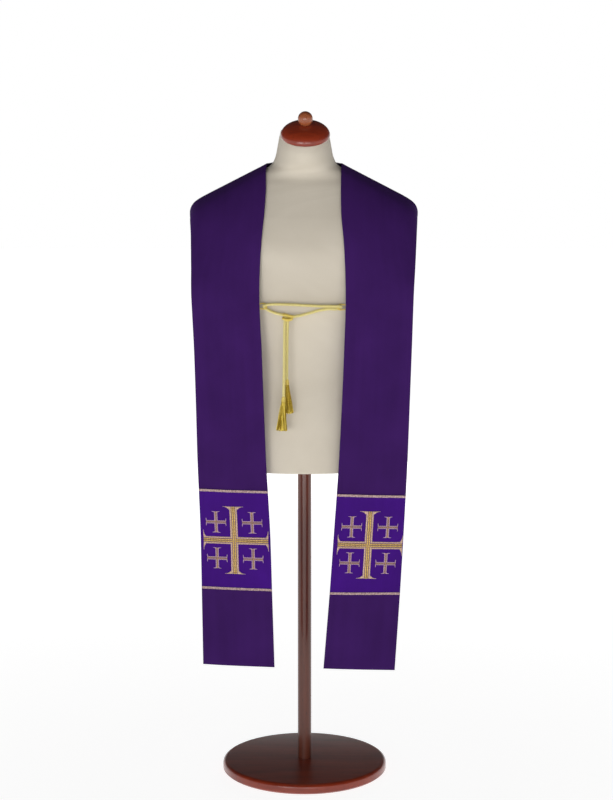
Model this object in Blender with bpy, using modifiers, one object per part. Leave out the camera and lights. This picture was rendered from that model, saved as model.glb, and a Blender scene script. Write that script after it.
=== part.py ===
"""Clerical stole worn on a limbless dress form.

The stole is two shaped halves joined at the centre back. Each half runs round the
neck, over the shoulder and down the front to its hem, with an orphrey panel, two
braids, and a loop for the fastening cord. Metres, +Z up. The front faces -Y and the
origin is the middle of the stand's underside.
"""
import math
from collections import namedtuple

import bmesh
import bpy
from mathutils import Matrix, Vector

COLLECTION = "clerical_stole"

# Cloth
CLOTH_WALL = 0.0020          # face cloth, interlining and lining sewn together
ORPHREY_WALL = 0.0010
BRAID_WALL = 0.0012
BRAID_WIDTH = 0.0055
SEAM_GAP = 0.0004            # between the two halves at the centre back
REST_GAP = 0.0003            # between a piece and what it lies on
EDGE_INSET = 0.0004          # how far a trim stays inside the panel's edges
COLUMNS = 9                  # faces across a half
COLUMN_CROWDING = 1.35       # gathers the columns towards the rounded outer edge
CORNER_POWER = 16            # how tightly the cloth turns down at the shoulder's end

# Yoke: the stretch round the back of the neck, from the shoulder ridge to the seam
YOKE_ROWS = 9
YOKE_CROWDING = 1.4          # gathers the rows towards the centre-back seam
NAPE_DEPTH = 0.080           # inner edge behind the shoulder line, at the seam
NAPE_HEIGHT = 1.484
BACK_DEPTH = 0.131           # outer edge behind the shoulder line, at the seam
BACK_HEIGHT = 1.338
BACK_CROWN = 0.007

# Shoulder: stations from the ridge forward to the breast. The two halves lie a
# little differently, so each has its own distance of the edges from the middle.
Shoulder = namedtuple(
    "Shoulder",
    "inner_right inner_left inner_y inner_z outer_right outer_left outer_y outer_z crown corner")
SHOULDER = [
    Shoulder(0.0880, 0.0880, 0.000, 1.4740, 0.2670, 0.2700, 0.000, 1.3520, 0.0215, 1.0),
    Shoulder(0.0862, 0.0906, -0.036, 1.4550, 0.2648, 0.2682, -0.041, 1.3380, 0.0185, 0.9),
    Shoulder(0.0848, 0.0896, -0.067, 1.4120, 0.2620, 0.2652, -0.073, 1.3100, 0.0130, 0.7),
    Shoulder(0.0855, 0.0935, -0.096, 1.3520, 0.2592, 0.2634, -0.098, 1.2720, 0.0085, 0.4),
    Shoulder(0.0915, 0.1000, -0.118, 1.2820, 0.2562, 0.2622, -0.116, 1.2250, 0.0050, 0.2),
]
SHOULDER_ROWS = 2            # rows of faces between two stations

# Front: stations from the breast down to the hem. The two fronts lean differently.
Front = namedtuple("Front", "height mid_right mid_left width depth crown")
FRONT = [
    Front(1.1700, 0.1740, 0.1828, 0.1575, -0.1295, 0.0035),
    Front(1.0500, 0.1705, 0.1775, 0.1570, -0.1345, 0.0025),
    Front(0.9100, 0.1655, 0.1732, 0.1580, -0.1360, 0.0020),
    Front(0.7700, 0.1598, 0.1690, 0.1605, -0.1365, 0.0020),
    Front(0.6200, 0.1512, 0.1622, 0.1635, -0.1365, 0.0022),
    Front(0.4700, 0.1422, 0.1590, 0.1658, -0.1360, 0.0025),
    Front(0.2850, 0.1293, 0.1553, 0.1690, -0.1350, 0.0025),
]
FRONT_ROWS = 2
HEM_RISE = {"right": -0.0040, "left": 0.0080}    # outer corner of the hem above the inner
HEM_LIFT = {"right": 0.0000, "left": 0.0090}     # the left front hangs a little shorter

# Heights of the braids' middles at the inner and the outer edge of each front
Braid = namedtuple("Braid", "name inner outer")
BRAIDS = {
    "right": [Braid("upper", 0.7045, 0.7008), Braid("lower", 0.4699, 0.4697)],
    "left": [Braid("upper", 0.7116, 0.7174), Braid("lower", 0.4778, 0.4849)],
}
TRIM_COLUMNS = 8
ORPHREY_LEVELS = 8
ORPHREY_TUCK = 0.35          # share of a braid's width that covers the orphrey's edge
SLOPE_STEP = 0.05            # share of a station over which a slope is read
HALVINGS = 40                # steps of the search for a height

# Fastening cord. Each loop stands out of an inner edge and its root lies behind it.
CORD_DIAMETER = 0.0055
LOOP_WIRE = 0.0013           # radius of the loop's own thread
LOOP_ARC_STEPS = 10
LOOP_HEIGHT = 0.0066         # half the loop's height, middle to middle
LOOP_REACH = 0.0165          # how far the loop stands out of the edge
LOOP_ROOT = 0.0040           # how far its root lies behind the panel
# Root of a loop: share of the way to its end, and share of LOOP_HEIGHT
LOOP_ROOT_SHAPE = [(0.5, -0.85), (1.0, -0.55), (1.0, 0.55), (0.5, 0.85)]
LOOP_CENTRES = {"right": Vector((0.0840, -0.1262, 1.1440)),
                "left": Vector((-0.0938, -0.1262, 1.1460))}
KNOT_CENTRE = Vector((-0.0390, -0.1390, 1.1215))
KNOT_RADII = Vector((0.0140, 0.0085, 0.0090))
KNOT_SEGMENTS = 20
KNOT_RINGS = 12
CORD_POINT_SPACING = 0.009
ROUTE_STEPS = 24             # fine steps between two of a route's points, for measuring it

# Routes of the cord's stretches, each from its loop or from the knot
SPAN_ROUTE = [(-0.0930, -0.1262, 1.1475), (-0.0905, -0.1330, 1.1492), (-0.0800, -0.1375, 1.1512),
              (-0.0600, -0.1395, 1.1517), (-0.0350, -0.1402, 1.1510), (-0.0090, -0.1405, 1.1498),
              (0.0160, -0.1405, 1.1484), (0.0400, -0.1400, 1.1474), (0.0620, -0.1388, 1.1470),
              (0.0760, -0.1362, 1.1466), (0.0830, -0.1315, 1.1458), (0.0845, -0.1262, 1.1452)]
LEFT_ROUTE = [(-0.0935, -0.1222, 1.1450), (-0.0895, -0.1208, 1.1405), (-0.0810, -0.1235, 1.1355),
              (-0.0700, -0.1300, 1.1318), (-0.0620, -0.1345, 1.1295), (-0.0545, -0.1376, 1.1280)]
RIGHT_ROUTE = [(0.0840, -0.1222, 1.1430), (0.0795, -0.1208, 1.1400), (0.0700, -0.1262, 1.1392),
               (0.0580, -0.1345, 1.1405), (0.0440, -0.1380, 1.1392), (0.0290, -0.1392, 1.1362),
               (0.0110, -0.1395, 1.1310), (-0.0060, -0.1395, 1.1265), (-0.0180, -0.1393, 1.1240),
               (-0.0246, -0.1392, 1.1229)]
TAIL_LEFT_ROUTE = [(-0.0452, -0.1408, 1.1118), (-0.0460, -0.1425, 1.0900), (-0.0464, -0.1438, 1.0500),
                   (-0.0470, -0.1448, 1.0000), (-0.0478, -0.1456, 0.9620), (-0.0482, -0.1460, 0.9386)]
TAIL_RIGHT_ROUTE = [(-0.0388, -0.1385, 1.1118), (-0.0394, -0.1372, 1.0900), (-0.0400, -0.1362, 1.0600),
                    (-0.0405, -0.1353, 1.0200), (-0.0408, -0.1347, 0.9776)]

# Tassels: turned, then flattened front to back. The lean is about Y, then about X.
Tassel = namedtuple("Tassel", "top spread lean")
TASSELS = {
    "left": Tassel(Vector((-0.0482, -0.1462, 0.9382)), 0.0125, (0.062, -0.010)),
    "right": Tassel(Vector((-0.0408, -0.1344, 0.9772)), 0.0100, (-0.062, 0.0)),
}
TASSEL_LENGTH = 0.082
TASSEL_FLATTENING = 0.72
# Radius, and share of the length below the top, down to the free threads
TASSEL_PROFILE = [(0.0030, 0.0), (0.0046, 0.03), (0.0050, 0.09), (0.0040, 0.13),
                  (0.0055, 0.20), (0.0072, 0.40)]
TASSEL_STEPS = 14

# Dress form: rings up the body, half width, reach in front of and behind the
# shoulder line, squareness (2 is an ellipse) and forward tilt in degrees
Ring = namedtuple("Ring", "z half_width front back square tilt")
FORM_RINGS = [
    Ring(0.7500, 0.1640, 0.112, 0.116, 2.3, 0),
    Ring(0.7560, 0.1690, 0.117, 0.121, 2.3, 0),
    Ring(0.8100, 0.1730, 0.119, 0.124, 2.3, 0),
    Ring(0.8900, 0.1700, 0.115, 0.117, 2.3, 0),
    Ring(0.9800, 0.1570, 0.106, 0.100, 2.3, 0),
    Ring(1.0700, 0.1640, 0.110, 0.102, 2.3, 0),
    Ring(1.1500, 0.1860, 0.119, 0.112, 2.4, 0),
    Ring(1.2200, 0.2090, 0.1215, 0.121, 2.5, 0),
    Ring(1.2700, 0.2290, 0.1190, 0.126, 2.6, 0),
    Ring(1.3100, 0.2430, 0.1095, 0.1250, 2.5, 0),
    Ring(1.3400, 0.2520, 0.0990, 0.1220, 2.35, 0),
    Ring(1.3600, 0.2505, 0.0905, 0.1180, 2.2, 0),
    Ring(1.3800, 0.2410, 0.0820, 0.1130, 2.1, 0),
    Ring(1.4000, 0.2155, 0.0730, 0.1060, 2.05, 0),
    Ring(1.4200, 0.1795, 0.0640, 0.0970, 2.0, 0),
    Ring(1.4400, 0.1405, 0.0555, 0.0860, 1.95, 2),
    Ring(1.4560, 0.1075, 0.0550, 0.0760, 1.95, 5),
    Ring(1.4700, 0.0800, 0.0595, 0.0650, 2.0, 9),
    Ring(1.4860, 0.0690, 0.0660, 0.0520, 2.0, 14),
    Ring(1.5050, 0.0640, 0.0705, 0.0420, 2.0, 20),
    Ring(1.5210, 0.0605, 0.0744, 0.0348, 2.0, 24),
    Ring(1.5365, 0.0560, 0.0739, 0.0259, 2.0, 27),
]
FORM_SIDES = 40

# Neck cap and ball, tilted forward with the top of the neck. Profile: radius, height
CAP_TILT = 27
CAP_CENTRE = Vector((0.0020, -0.0240, 1.5365))
CAP_PROFILE = [(0.0000, 0.0318), (0.0180, 0.0306), (0.0340, 0.0272), (0.0460, 0.0221),
               (0.0540, 0.0150), (0.0580, 0.0065), (0.0574, 0.0020), (0.0550, 0.0003), (0.0000, 0.0003)]
CAP_STEPS = 32
BALL_RADIUS = 0.0175
BALL_STEM_RADIUS = 0.0122
BALL_STEM_LENGTH = 0.0004
BALL_RINGS = 12
BALL_STEPS = 24

# Stand
POLE_RADIUS = 0.0165
POLE_STEPS = 24
BASE_RADIUS = 0.2000
BASE_HEIGHT = 0.0240
BASE_EDGE = 0.0090           # radius of the rounded upper edge
BASE_EDGE_STEPS = 4
BASE_FOOT_CHAMFER = 0.0040
BASE_STEPS = 48

MERGE_DISTANCE = 0.00005

# Linear colour, roughness and metallic value of each material
COLOURS = {
    "violet_cloth": (0.045, 0.014, 0.110, 0.85, 0.0),
    "orphrey_cloth": (0.064, 0.020, 0.205, 0.60, 0.0),
    "gold_thread": (0.560, 0.420, 0.170, 0.40, 0.6),
    "form_jersey": (0.620, 0.570, 0.450, 0.90, 0.0),
    "mahogany": (0.150, 0.028, 0.010, 0.30, 0.0),
}


# ---------------------------------------------------------------- general helpers

def clear_scene():
    for obj in list(bpy.data.objects):
        bpy.data.objects.remove(obj, do_unlink=True)


def make_collection():
    coll = bpy.data.collections.new(COLLECTION)
    bpy.context.scene.collection.children.link(coll)
    return coll


def material(name):
    mat = bpy.data.materials.get(name)
    if mat is None:
        red, green, blue, roughness, metallic = COLOURS[name]
        mat = bpy.data.materials.new(name)
        mat.use_nodes = True
        shader = mat.node_tree.nodes["Principled BSDF"]
        shader.inputs["Base Color"].default_value = (red, green, blue, 1.0)
        shader.inputs["Roughness"].default_value = roughness
        shader.inputs["Metallic"].default_value = metallic
    return mat


def add_object(coll, name, data, material_name):
    obj = bpy.data.objects.new(name, data)
    data.materials.append(material(material_name))
    coll.objects.link(obj)
    return obj


def catmull(before, start, end, after, t):
    """Point or number at t between start and end, with their neighbours' slopes."""
    return 0.5 * (2 * start + (end - before) * t
                  + (2 * before - 5 * start + 4 * end - after) * t * t
                  + (3 * start - before - 3 * end + after) * t * t * t)


def along(values, s):
    """Smooth value at station number s of a list."""
    last = len(values) - 1
    i = max(0, min(last - 1, int(math.floor(s))))
    before = values[i - 1] if i > 0 else 2 * values[0] - values[1]
    after = values[i + 2] if i + 2 <= last else 2 * values[last] - values[last - 1]
    return catmull(before, values[i], values[i + 1], after, s - i)


def mesh_from_rows(name, rows):
    """Open quad surface through rows of points."""
    width = len(rows[0])
    verts = [point for row in rows for point in row]
    faces = []
    for r in range(len(rows) - 1):
        for c in range(width - 1):
            low = r * width + c
            faces.append((low, low + 1, low + width + 1, low + width))
    mesh = bpy.data.meshes.new(name)
    mesh.from_pydata(verts, [], faces)
    mesh.validate()
    return mesh


def add_wall(obj, thickness):
    """Give an open surface its cloth thickness, behind the surface."""
    wall = obj.modifiers.new("wall", "SOLIDIFY")
    wall.thickness = thickness
    wall.offset = -1.0


def turned(coll, name, profile, material_name, steps):
    """Solid turned about its own Z; the profile runs down its outer side."""
    mesh = bpy.data.meshes.new(name)
    verts = [(radius, 0.0, height) for radius, height in profile]
    mesh.from_pydata(verts, [(i, i + 1) for i in range(len(verts) - 1)], [])
    obj = add_object(coll, name, mesh, material_name)
    screw = obj.modifiers.new("turn", "SCREW")
    screw.steps = steps
    screw.render_steps = steps
    screw.use_merge_vertices = True
    screw.merge_threshold = MERGE_DISTANCE
    screw.use_smooth_shade = True
    return obj


def tube(coll, name, points, radius, closed=False):
    """Cord or thread along a smooth line of points."""
    curve = bpy.data.curves.new(name, "CURVE")
    curve.dimensions = "3D"
    curve.bevel_depth = radius
    curve.bevel_resolution = 2
    curve.resolution_u = 1
    curve.render_resolution_u = 0
    curve.use_fill_caps = not closed
    spline = curve.splines.new("POLY")
    spline.points.add(len(points) - 1)
    for slot, point in zip(spline.points, points):
        slot.co = (point[0], point[1], point[2], 1.0)
    spline.use_cyclic_u = closed
    spline.use_smooth = True
    return add_object(coll, name, curve, "gold_thread")


def smooth_route(route, spacing):
    """Evenly spread points of the smooth curve through a route's own points."""
    stations = [Vector(point) for point in route]
    steps = ROUTE_STEPS * (len(stations) - 1)
    fine = [along(stations, i / ROUTE_STEPS) for i in range(steps + 1)]
    lengths = [0.0]
    for first, second in zip(fine, fine[1:]):
        lengths.append(lengths[-1] + (second - first).length)
    count = round(lengths[-1] / spacing) + 1
    points = []
    for i in range(count):
        target = lengths[-1] * i / (count - 1)
        k = next((j for j in range(1, len(lengths)) if lengths[j] >= target - 1e-9), len(lengths) - 1)
        share = (target - lengths[k - 1]) / (lengths[k] - lengths[k - 1])
        points.append(fine[k - 1].lerp(fine[k], share))
    return points


# ---------------------------------------------------------------- the stole's surface

def edge_distances(row, side):
    """Distances of a shoulder station's inner and outer edge from the middle plane."""
    if side == "right":
        return row.inner_right, row.outer_right
    return row.inner_left, row.outer_left


def half_stations(side):
    """Inner points, outer points, crowns and corner shares of one half, ridge to hem."""
    sign = 1.0 if side == "right" else -1.0
    inner, outer, crown, corner = [], [], [], []
    for row in SHOULDER:
        inner_x, outer_x = edge_distances(row, side)
        inner.append(Vector((sign * inner_x, row.inner_y, row.inner_z)))
        outer.append(Vector((sign * outer_x, row.outer_y, row.outer_z)))
        crown.append(row.crown)
        corner.append(row.corner)
    for row in FRONT:
        middle = row.mid_right if side == "right" else row.mid_left
        share = (FRONT[0].height - row.height) / (FRONT[0].height - FRONT[-1].height)
        height = row.height + HEM_LIFT[side] * share
        rise = HEM_RISE[side] * share / 2
        inner.append(Vector((sign * (middle - row.width / 2), row.depth, height - rise)))
        outer.append(Vector((sign * (middle + row.width / 2), row.depth, height + rise)))
        crown.append(row.crown)
        corner.append(0.0)
    return inner, outer, crown, corner


def bulge(u, corner):
    """Share of the crown at u across the cloth: even, or straight up to a rounded corner."""
    even = 4 * u * (1 - u)
    peak = (1 + CORNER_POWER) ** (-1 / CORNER_POWER)
    cornered = u * (1 - u ** CORNER_POWER) / (peak * (1 - peak ** CORNER_POWER))
    return even + (cornered - even) * corner


def yoke_edges(side, angle):
    """Inner and outer edge of the yoke at an angle from the shoulder line to the seam."""
    sign = 1.0 if side == "right" else -1.0
    first = SHOULDER[0]
    inner_x, outer_x = edge_distances(first, side)
    cos, sin = math.cos(angle), math.sin(angle)
    seam_x = SEAM_GAP / 2
    rise = sin * sin
    inner = Vector((sign * max(seam_x, inner_x * cos), NAPE_DEPTH * sin,
                    first.inner_z + (NAPE_HEIGHT - first.inner_z) * rise))
    outer = Vector((sign * max(seam_x, outer_x * cos), BACK_DEPTH * sin,
                    first.outer_z + (BACK_HEIGHT - first.outer_z) * rise))
    crown = first.crown + (BACK_CROWN - first.crown) * rise
    return inner, outer, crown, 1.0 - rise


def cross_row(edge, before, after, sign, columns):
    """Points across the cloth, from the inner edge to the outer edge."""
    inner, outer, crown, corner = edge
    chord = outer - inner
    run = (after[0] + after[1]) - (before[0] + before[1])
    out = run.cross(chord).normalized() * sign
    row = []
    for u in columns:
        row.append(inner + chord * u + out * (crown * bulge(u, corner)))
    return row


def column_shares():
    return [1 - (1 - c / COLUMNS) ** COLUMN_CROWDING for c in range(COLUMNS + 1)]


def front_edge(stations, s):
    inner, outer, crown, corner = stations
    return along(inner, s), along(outer, s), along(crown, s), along(corner, s)


def half_rows(side):
    """Rows of points from the centre-back seam to the hem."""
    sign = 1.0 if side == "right" else -1.0
    stations = half_stations(side)
    edges = []
    for k in range(YOKE_ROWS, 0, -1):
        angle = math.pi / 2 * (1 - (1 - k / YOKE_ROWS) ** YOKE_CROWDING)
        edges.append(yoke_edges(side, angle))
    shoulder_spans = len(SHOULDER)
    front_spans = len(FRONT) - 1
    marks = [i / SHOULDER_ROWS for i in range(shoulder_spans * SHOULDER_ROWS)]
    marks += [shoulder_spans + i / FRONT_ROWS for i in range(front_spans * FRONT_ROWS + 1)]
    edges += [front_edge(stations, s) for s in marks]
    columns = column_shares()
    rows = []
    for i, edge in enumerate(edges):
        before = edges[max(0, i - 1)]
        after = edges[min(len(edges) - 1, i + 1)]
        rows.append(cross_row(edge, before, after, sign, columns))
    return rows


def station_at_height(points, height):
    """Station number at which an edge passes a height, on the front."""
    low, high = float(len(SHOULDER)), float(len(points) - 1)
    for _ in range(HALVINGS):
        middle = (low + high) / 2
        if along(points, middle).z > height:
            low = middle
        else:
            high = middle
    return (low + high) / 2


def patch_rows(side, heights, lift, columns, inset):
    """Rows on a front at inner and outer heights, lifted off its face."""
    sign = 1.0 if side == "right" else -1.0
    stations = half_stations(side)
    inner, outer = stations[0], stations[1]
    rows = []
    for inner_height, outer_height in heights:
        s_inner = station_at_height(inner, inner_height)
        s_outer = station_at_height(outer, outer_height)
        row = []
        for c in range(columns + 1):
            width = (along(outer, s_inner) - along(inner, s_inner)).length
            u = inset / width + (1 - 2 * inset / width) * c / columns
            s = s_inner + (s_outer - s_inner) * u
            edge = front_edge(stations, s)
            before = front_edge(stations, s - SLOPE_STEP)
            after = front_edge(stations, s + SLOPE_STEP)
            point = cross_row(edge, before, after, sign, [u])[0]
            row.append(point + Vector((0.0, -lift, 0.0)))
        rows.append(row)
    return rows


# ---------------------------------------------------------------- the stole's pieces

def build_half(coll, side):
    rows = half_rows(side)
    if side == "right":
        rows = [list(reversed(row)) for row in rows]
    mesh = mesh_from_rows("stole_half_" + side, rows)
    obj = add_object(coll, "stole_half_" + side, mesh, "violet_cloth")
    add_wall(obj, CLOTH_WALL)


def build_trim(coll, name, side, heights, lift, wall, material_name):
    """A piece that lies on a front: its back is REST_GAP off what is under it."""
    rows = patch_rows(side, heights, lift + wall, TRIM_COLUMNS, EDGE_INSET)
    if side == "right":
        rows = [list(reversed(row)) for row in rows]
    obj = add_object(coll, name, mesh_from_rows(name, rows), material_name)
    add_wall(obj, wall)


def build_orphrey(coll, side):
    upper, lower = BRAIDS[side]
    reach = BRAID_WIDTH * ORPHREY_TUCK
    heights = []
    for k in range(ORPHREY_LEVELS + 1):
        t = k / ORPHREY_LEVELS
        inner = upper.inner + reach + (lower.inner - upper.inner - 2 * reach) * t
        outer = upper.outer + reach + (lower.outer - upper.outer - 2 * reach) * t
        heights.append((inner, outer))
    build_trim(coll, "orphrey_panel_" + side, side, heights, REST_GAP, ORPHREY_WALL, "orphrey_cloth")


def build_braids(coll, side):
    for braid in BRAIDS[side]:
        half = BRAID_WIDTH / 2
        heights = [(braid.inner + half, braid.outer + half), (braid.inner - half, braid.outer - half)]
        lift = REST_GAP + ORPHREY_WALL + REST_GAP
        name = "braid_" + side + "_" + braid.name
        build_trim(coll, name, side, heights, lift, BRAID_WALL, "gold_thread")


def build_loop(coll, side):
    """Closed loop of thread: round at the cord, flat at its root behind the panel."""
    centre = LOOP_CENTRES[side]
    toward_edge = 1.0 if side == "right" else -1.0
    root = LOOP_REACH + LOOP_ROOT - LOOP_HEIGHT
    points = []
    for k in range(LOOP_ARC_STEPS + 1):
        angle = math.pi / 2 + math.pi * k / LOOP_ARC_STEPS
        points.append(centre + Vector((toward_edge * LOOP_HEIGHT * math.cos(angle), 0.0,
                                       LOOP_HEIGHT * math.sin(angle))))
    for share, height in LOOP_ROOT_SHAPE:
        points.append(centre + Vector((toward_edge * root * share, 0.0, LOOP_HEIGHT * height)))
    tube(coll, "cord_loop_" + side, points, LOOP_WIRE, closed=True)


def build_cord(coll):
    routes = {
        "fastening_cord_span": SPAN_ROUTE,
        "fastening_cord_left": LEFT_ROUTE,
        "fastening_cord_right": RIGHT_ROUTE,
        "cord_tail_left": TAIL_LEFT_ROUTE,
        "cord_tail_right": TAIL_RIGHT_ROUTE,
    }
    for name, route in routes.items():
        tube(coll, name, smooth_route(route, CORD_POINT_SPACING), CORD_DIAMETER / 2)


def build_knot(coll):
    shape = bmesh.new()
    bmesh.ops.create_uvsphere(shape, u_segments=KNOT_SEGMENTS, v_segments=KNOT_RINGS, radius=1.0)
    shape.transform(Matrix.Diagonal((*KNOT_RADII, 1.0)))
    mesh = bpy.data.meshes.new("cord_knot")
    shape.to_mesh(mesh)
    shape.free()
    mesh.shade_smooth()
    knot = add_object(coll, "cord_knot", mesh, "gold_thread")
    knot.location = KNOT_CENTRE


def build_tassel(coll, side):
    tassel = TASSELS[side]
    profile = [(0.0, 0.0)]
    profile += [(radius, -share * TASSEL_LENGTH) for radius, share in TASSEL_PROFILE]
    profile += [(tassel.spread, -TASSEL_LENGTH), (0.0, -TASSEL_LENGTH)]
    obj = turned(coll, "tassel_" + side, profile, "gold_thread", TASSEL_STEPS)
    obj.location = tassel.top
    obj.rotation_euler = (tassel.lean[1], tassel.lean[0], 0.0)
    obj.scale = (1.0, TASSEL_FLATTENING, 1.0)


# ---------------------------------------------------------------- the form and its stand

def form_ring(ring):
    """Points of one ring: superellipse with its own reach in front and behind."""
    tilt = math.tan(math.radians(ring.tilt))
    points = []
    for k in range(FORM_SIDES):
        angle = 2 * math.pi * k / FORM_SIDES
        cos, sin = math.cos(angle), math.sin(angle)
        power = 2 / ring.square
        x = ring.half_width * math.copysign(abs(cos) ** power, cos)
        reach = ring.back if sin > 0 else ring.front
        y = reach * math.copysign(abs(sin) ** power, sin)
        middle = (ring.back - ring.front) / 2
        points.append(Vector((x, y, ring.z + tilt * (y - middle))))
    return points


def build_torso(coll):
    rings = [form_ring(ring) for ring in FORM_RINGS]
    shape = bmesh.new()
    rows = [[shape.verts.new(point) for point in ring] for ring in rings]
    for low, high in zip(rows, rows[1:]):
        for k in range(FORM_SIDES):
            nxt = (k + 1) % FORM_SIDES
            shape.faces.new((low[k], low[nxt], high[nxt], high[k]))
    shape.faces.new(list(reversed(rows[0])))
    shape.faces.new(rows[-1])
    mesh = bpy.data.meshes.new("form_torso")
    shape.to_mesh(mesh)
    shape.free()
    mesh.shade_smooth()
    add_object(coll, "form_torso", mesh, "form_jersey")


def ball_profile():
    """Ball on a short stem, from the top down to the stem's foot."""
    span = math.pi - math.asin(BALL_STEM_RADIUS / BALL_RADIUS)
    middle = BALL_STEM_LENGTH - BALL_RADIUS * math.cos(span)
    profile = []
    for k in range(BALL_RINGS + 1):
        angle = span * k / BALL_RINGS
        profile.append((BALL_RADIUS * math.sin(angle), middle + BALL_RADIUS * math.cos(angle)))
    profile[0] = (0.0, middle + BALL_RADIUS)
    profile += [(BALL_STEM_RADIUS, 0.0), (0.0, 0.0)]
    return profile


def build_cap(coll):
    tilt = math.radians(CAP_TILT)
    cap = turned(coll, "neck_cap", CAP_PROFILE, "mahogany", CAP_STEPS)
    cap.location = CAP_CENTRE
    cap.rotation_euler = (tilt, 0.0, 0.0)
    ball = turned(coll, "neck_finial", ball_profile(), "mahogany", BALL_STEPS)
    up = Vector((0.0, -math.sin(tilt), math.cos(tilt)))
    ball.location = CAP_CENTRE + up * (CAP_PROFILE[0][1] + REST_GAP)
    ball.rotation_euler = (tilt, 0.0, 0.0)


def build_stand(coll):
    pole_foot = BASE_HEIGHT + REST_GAP
    pole_top = FORM_RINGS[0].z - REST_GAP
    profile = [(0.0, pole_top), (POLE_RADIUS, pole_top), (POLE_RADIUS, pole_foot), (0.0, pole_foot)]
    turned(coll, "stand_pole", profile, "mahogany", POLE_STEPS)
    profile = [(0.0, BASE_HEIGHT)]
    for k in range(BASE_EDGE_STEPS + 1):
        angle = math.pi / 2 * (1 - k / BASE_EDGE_STEPS)
        profile.append((BASE_RADIUS - BASE_EDGE + BASE_EDGE * math.cos(angle),
                        BASE_HEIGHT - BASE_EDGE + BASE_EDGE * math.sin(angle)))
    profile += [(BASE_RADIUS, BASE_FOOT_CHAMFER), (BASE_RADIUS - BASE_FOOT_CHAMFER, 0.0), (0.0, 0.0)]
    turned(coll, "stand_base", profile, "mahogany", BASE_STEPS)


def main():
    clear_scene()
    coll = make_collection()
    for side in ("right", "left"):
        build_half(coll, side)
        build_orphrey(coll, side)
        build_braids(coll, side)
        build_loop(coll, side)
        build_tassel(coll, side)
    build_cord(coll)
    build_knot(coll)
    build_torso(coll)
    build_cap(coll)
    build_stand(coll)


main()
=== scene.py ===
"""Looks of the clerical stole on its dress form.

Every piece is built in the CAD's frame, in metres, on the form of the CAD node that it
stands for. +Z is up, the fronts face -Y, and "right" is at +X.
"""
import math
from collections import namedtuple

import bpy
import numpy as np
from mathutils import Matrix, Vector


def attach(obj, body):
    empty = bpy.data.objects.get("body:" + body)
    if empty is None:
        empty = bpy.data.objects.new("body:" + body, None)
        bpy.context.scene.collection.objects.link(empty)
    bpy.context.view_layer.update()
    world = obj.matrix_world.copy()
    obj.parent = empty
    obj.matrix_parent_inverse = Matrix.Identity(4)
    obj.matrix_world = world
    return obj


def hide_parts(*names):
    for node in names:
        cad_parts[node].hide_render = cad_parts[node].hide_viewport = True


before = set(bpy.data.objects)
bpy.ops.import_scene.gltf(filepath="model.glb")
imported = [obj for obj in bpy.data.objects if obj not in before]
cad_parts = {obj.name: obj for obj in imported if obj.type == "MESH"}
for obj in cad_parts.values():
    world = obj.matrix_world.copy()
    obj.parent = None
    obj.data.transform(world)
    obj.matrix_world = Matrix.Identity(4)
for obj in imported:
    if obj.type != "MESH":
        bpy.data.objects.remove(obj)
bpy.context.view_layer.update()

TURN = 2 * math.pi
SIGNS = {"right": 1.0, "left": -1.0}      # of X on each side

# ---------------- camera

CAMERA_PLACE = (0.0048, -4.2, 1.45)
CAMERA_PITCH = 7.31          # degrees below the horizon
CAMERA_LENS = 79.4           # mm, on a sensor 36 mm on its long side

# ---------------- the stole's form, as in the CAD source

CLOTH_WALL = 0.0020          # face cloth, interlining and lining sewn together
ORPHREY_WALL = 0.0010
BRAID_WALL = 0.0012
BRAID_WIDTH = 0.0055
PLAIT_PITCH = 0.0019         # of the braid's strands, along it
PLAIT_SLANT = 0.9            # along for each step across
SEAM_GAP = 0.0004            # between the two halves at the centre back
REST_GAP = 0.0003            # between a piece and what it lies on
EDGE_INSET = 0.0004          # how far a trim stays inside the panel's edges
CORNER_POWER = 16            # how tightly the cloth turns down at the shoulder's end
YOKE_ROWS = 9
YOKE_CROWDING = 1.4          # gathers the rows towards the centre-back seam
NAPE_DEPTH = 0.080           # inner edge behind the shoulder line, at the seam
NAPE_HEIGHT = 1.484
BACK_DEPTH = 0.131           # outer edge behind the shoulder line, at the seam
BACK_HEIGHT = 1.338
BACK_CROWN = 0.007
ROWS_PER_STATION = 2

# From the shoulder ridge to the chest: both edges, how far the cloth bulges between them,
# and how much of the turn at the shoulder's end is left
Shoulder = namedtuple(
    "Shoulder",
    "inner_right inner_left inner_y inner_z outer_right outer_left outer_y outer_z crown corner")
SHOULDER = [
    Shoulder(0.0880, 0.0880, 0.000, 1.4740, 0.2670, 0.2700, 0.000, 1.3520, 0.0215, 1.0),
    Shoulder(0.0862, 0.0906, -0.036, 1.4550, 0.2648, 0.2682, -0.041, 1.3380, 0.0185, 0.9),
    Shoulder(0.0848, 0.0896, -0.067, 1.4120, 0.2620, 0.2652, -0.073, 1.3100, 0.0130, 0.7),
    Shoulder(0.0855, 0.0935, -0.096, 1.3520, 0.2592, 0.2634, -0.098, 1.2720, 0.0085, 0.4),
    Shoulder(0.0915, 0.1000, -0.118, 1.2820, 0.2562, 0.2622, -0.116, 1.2250, 0.0050, 0.2),
]

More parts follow.
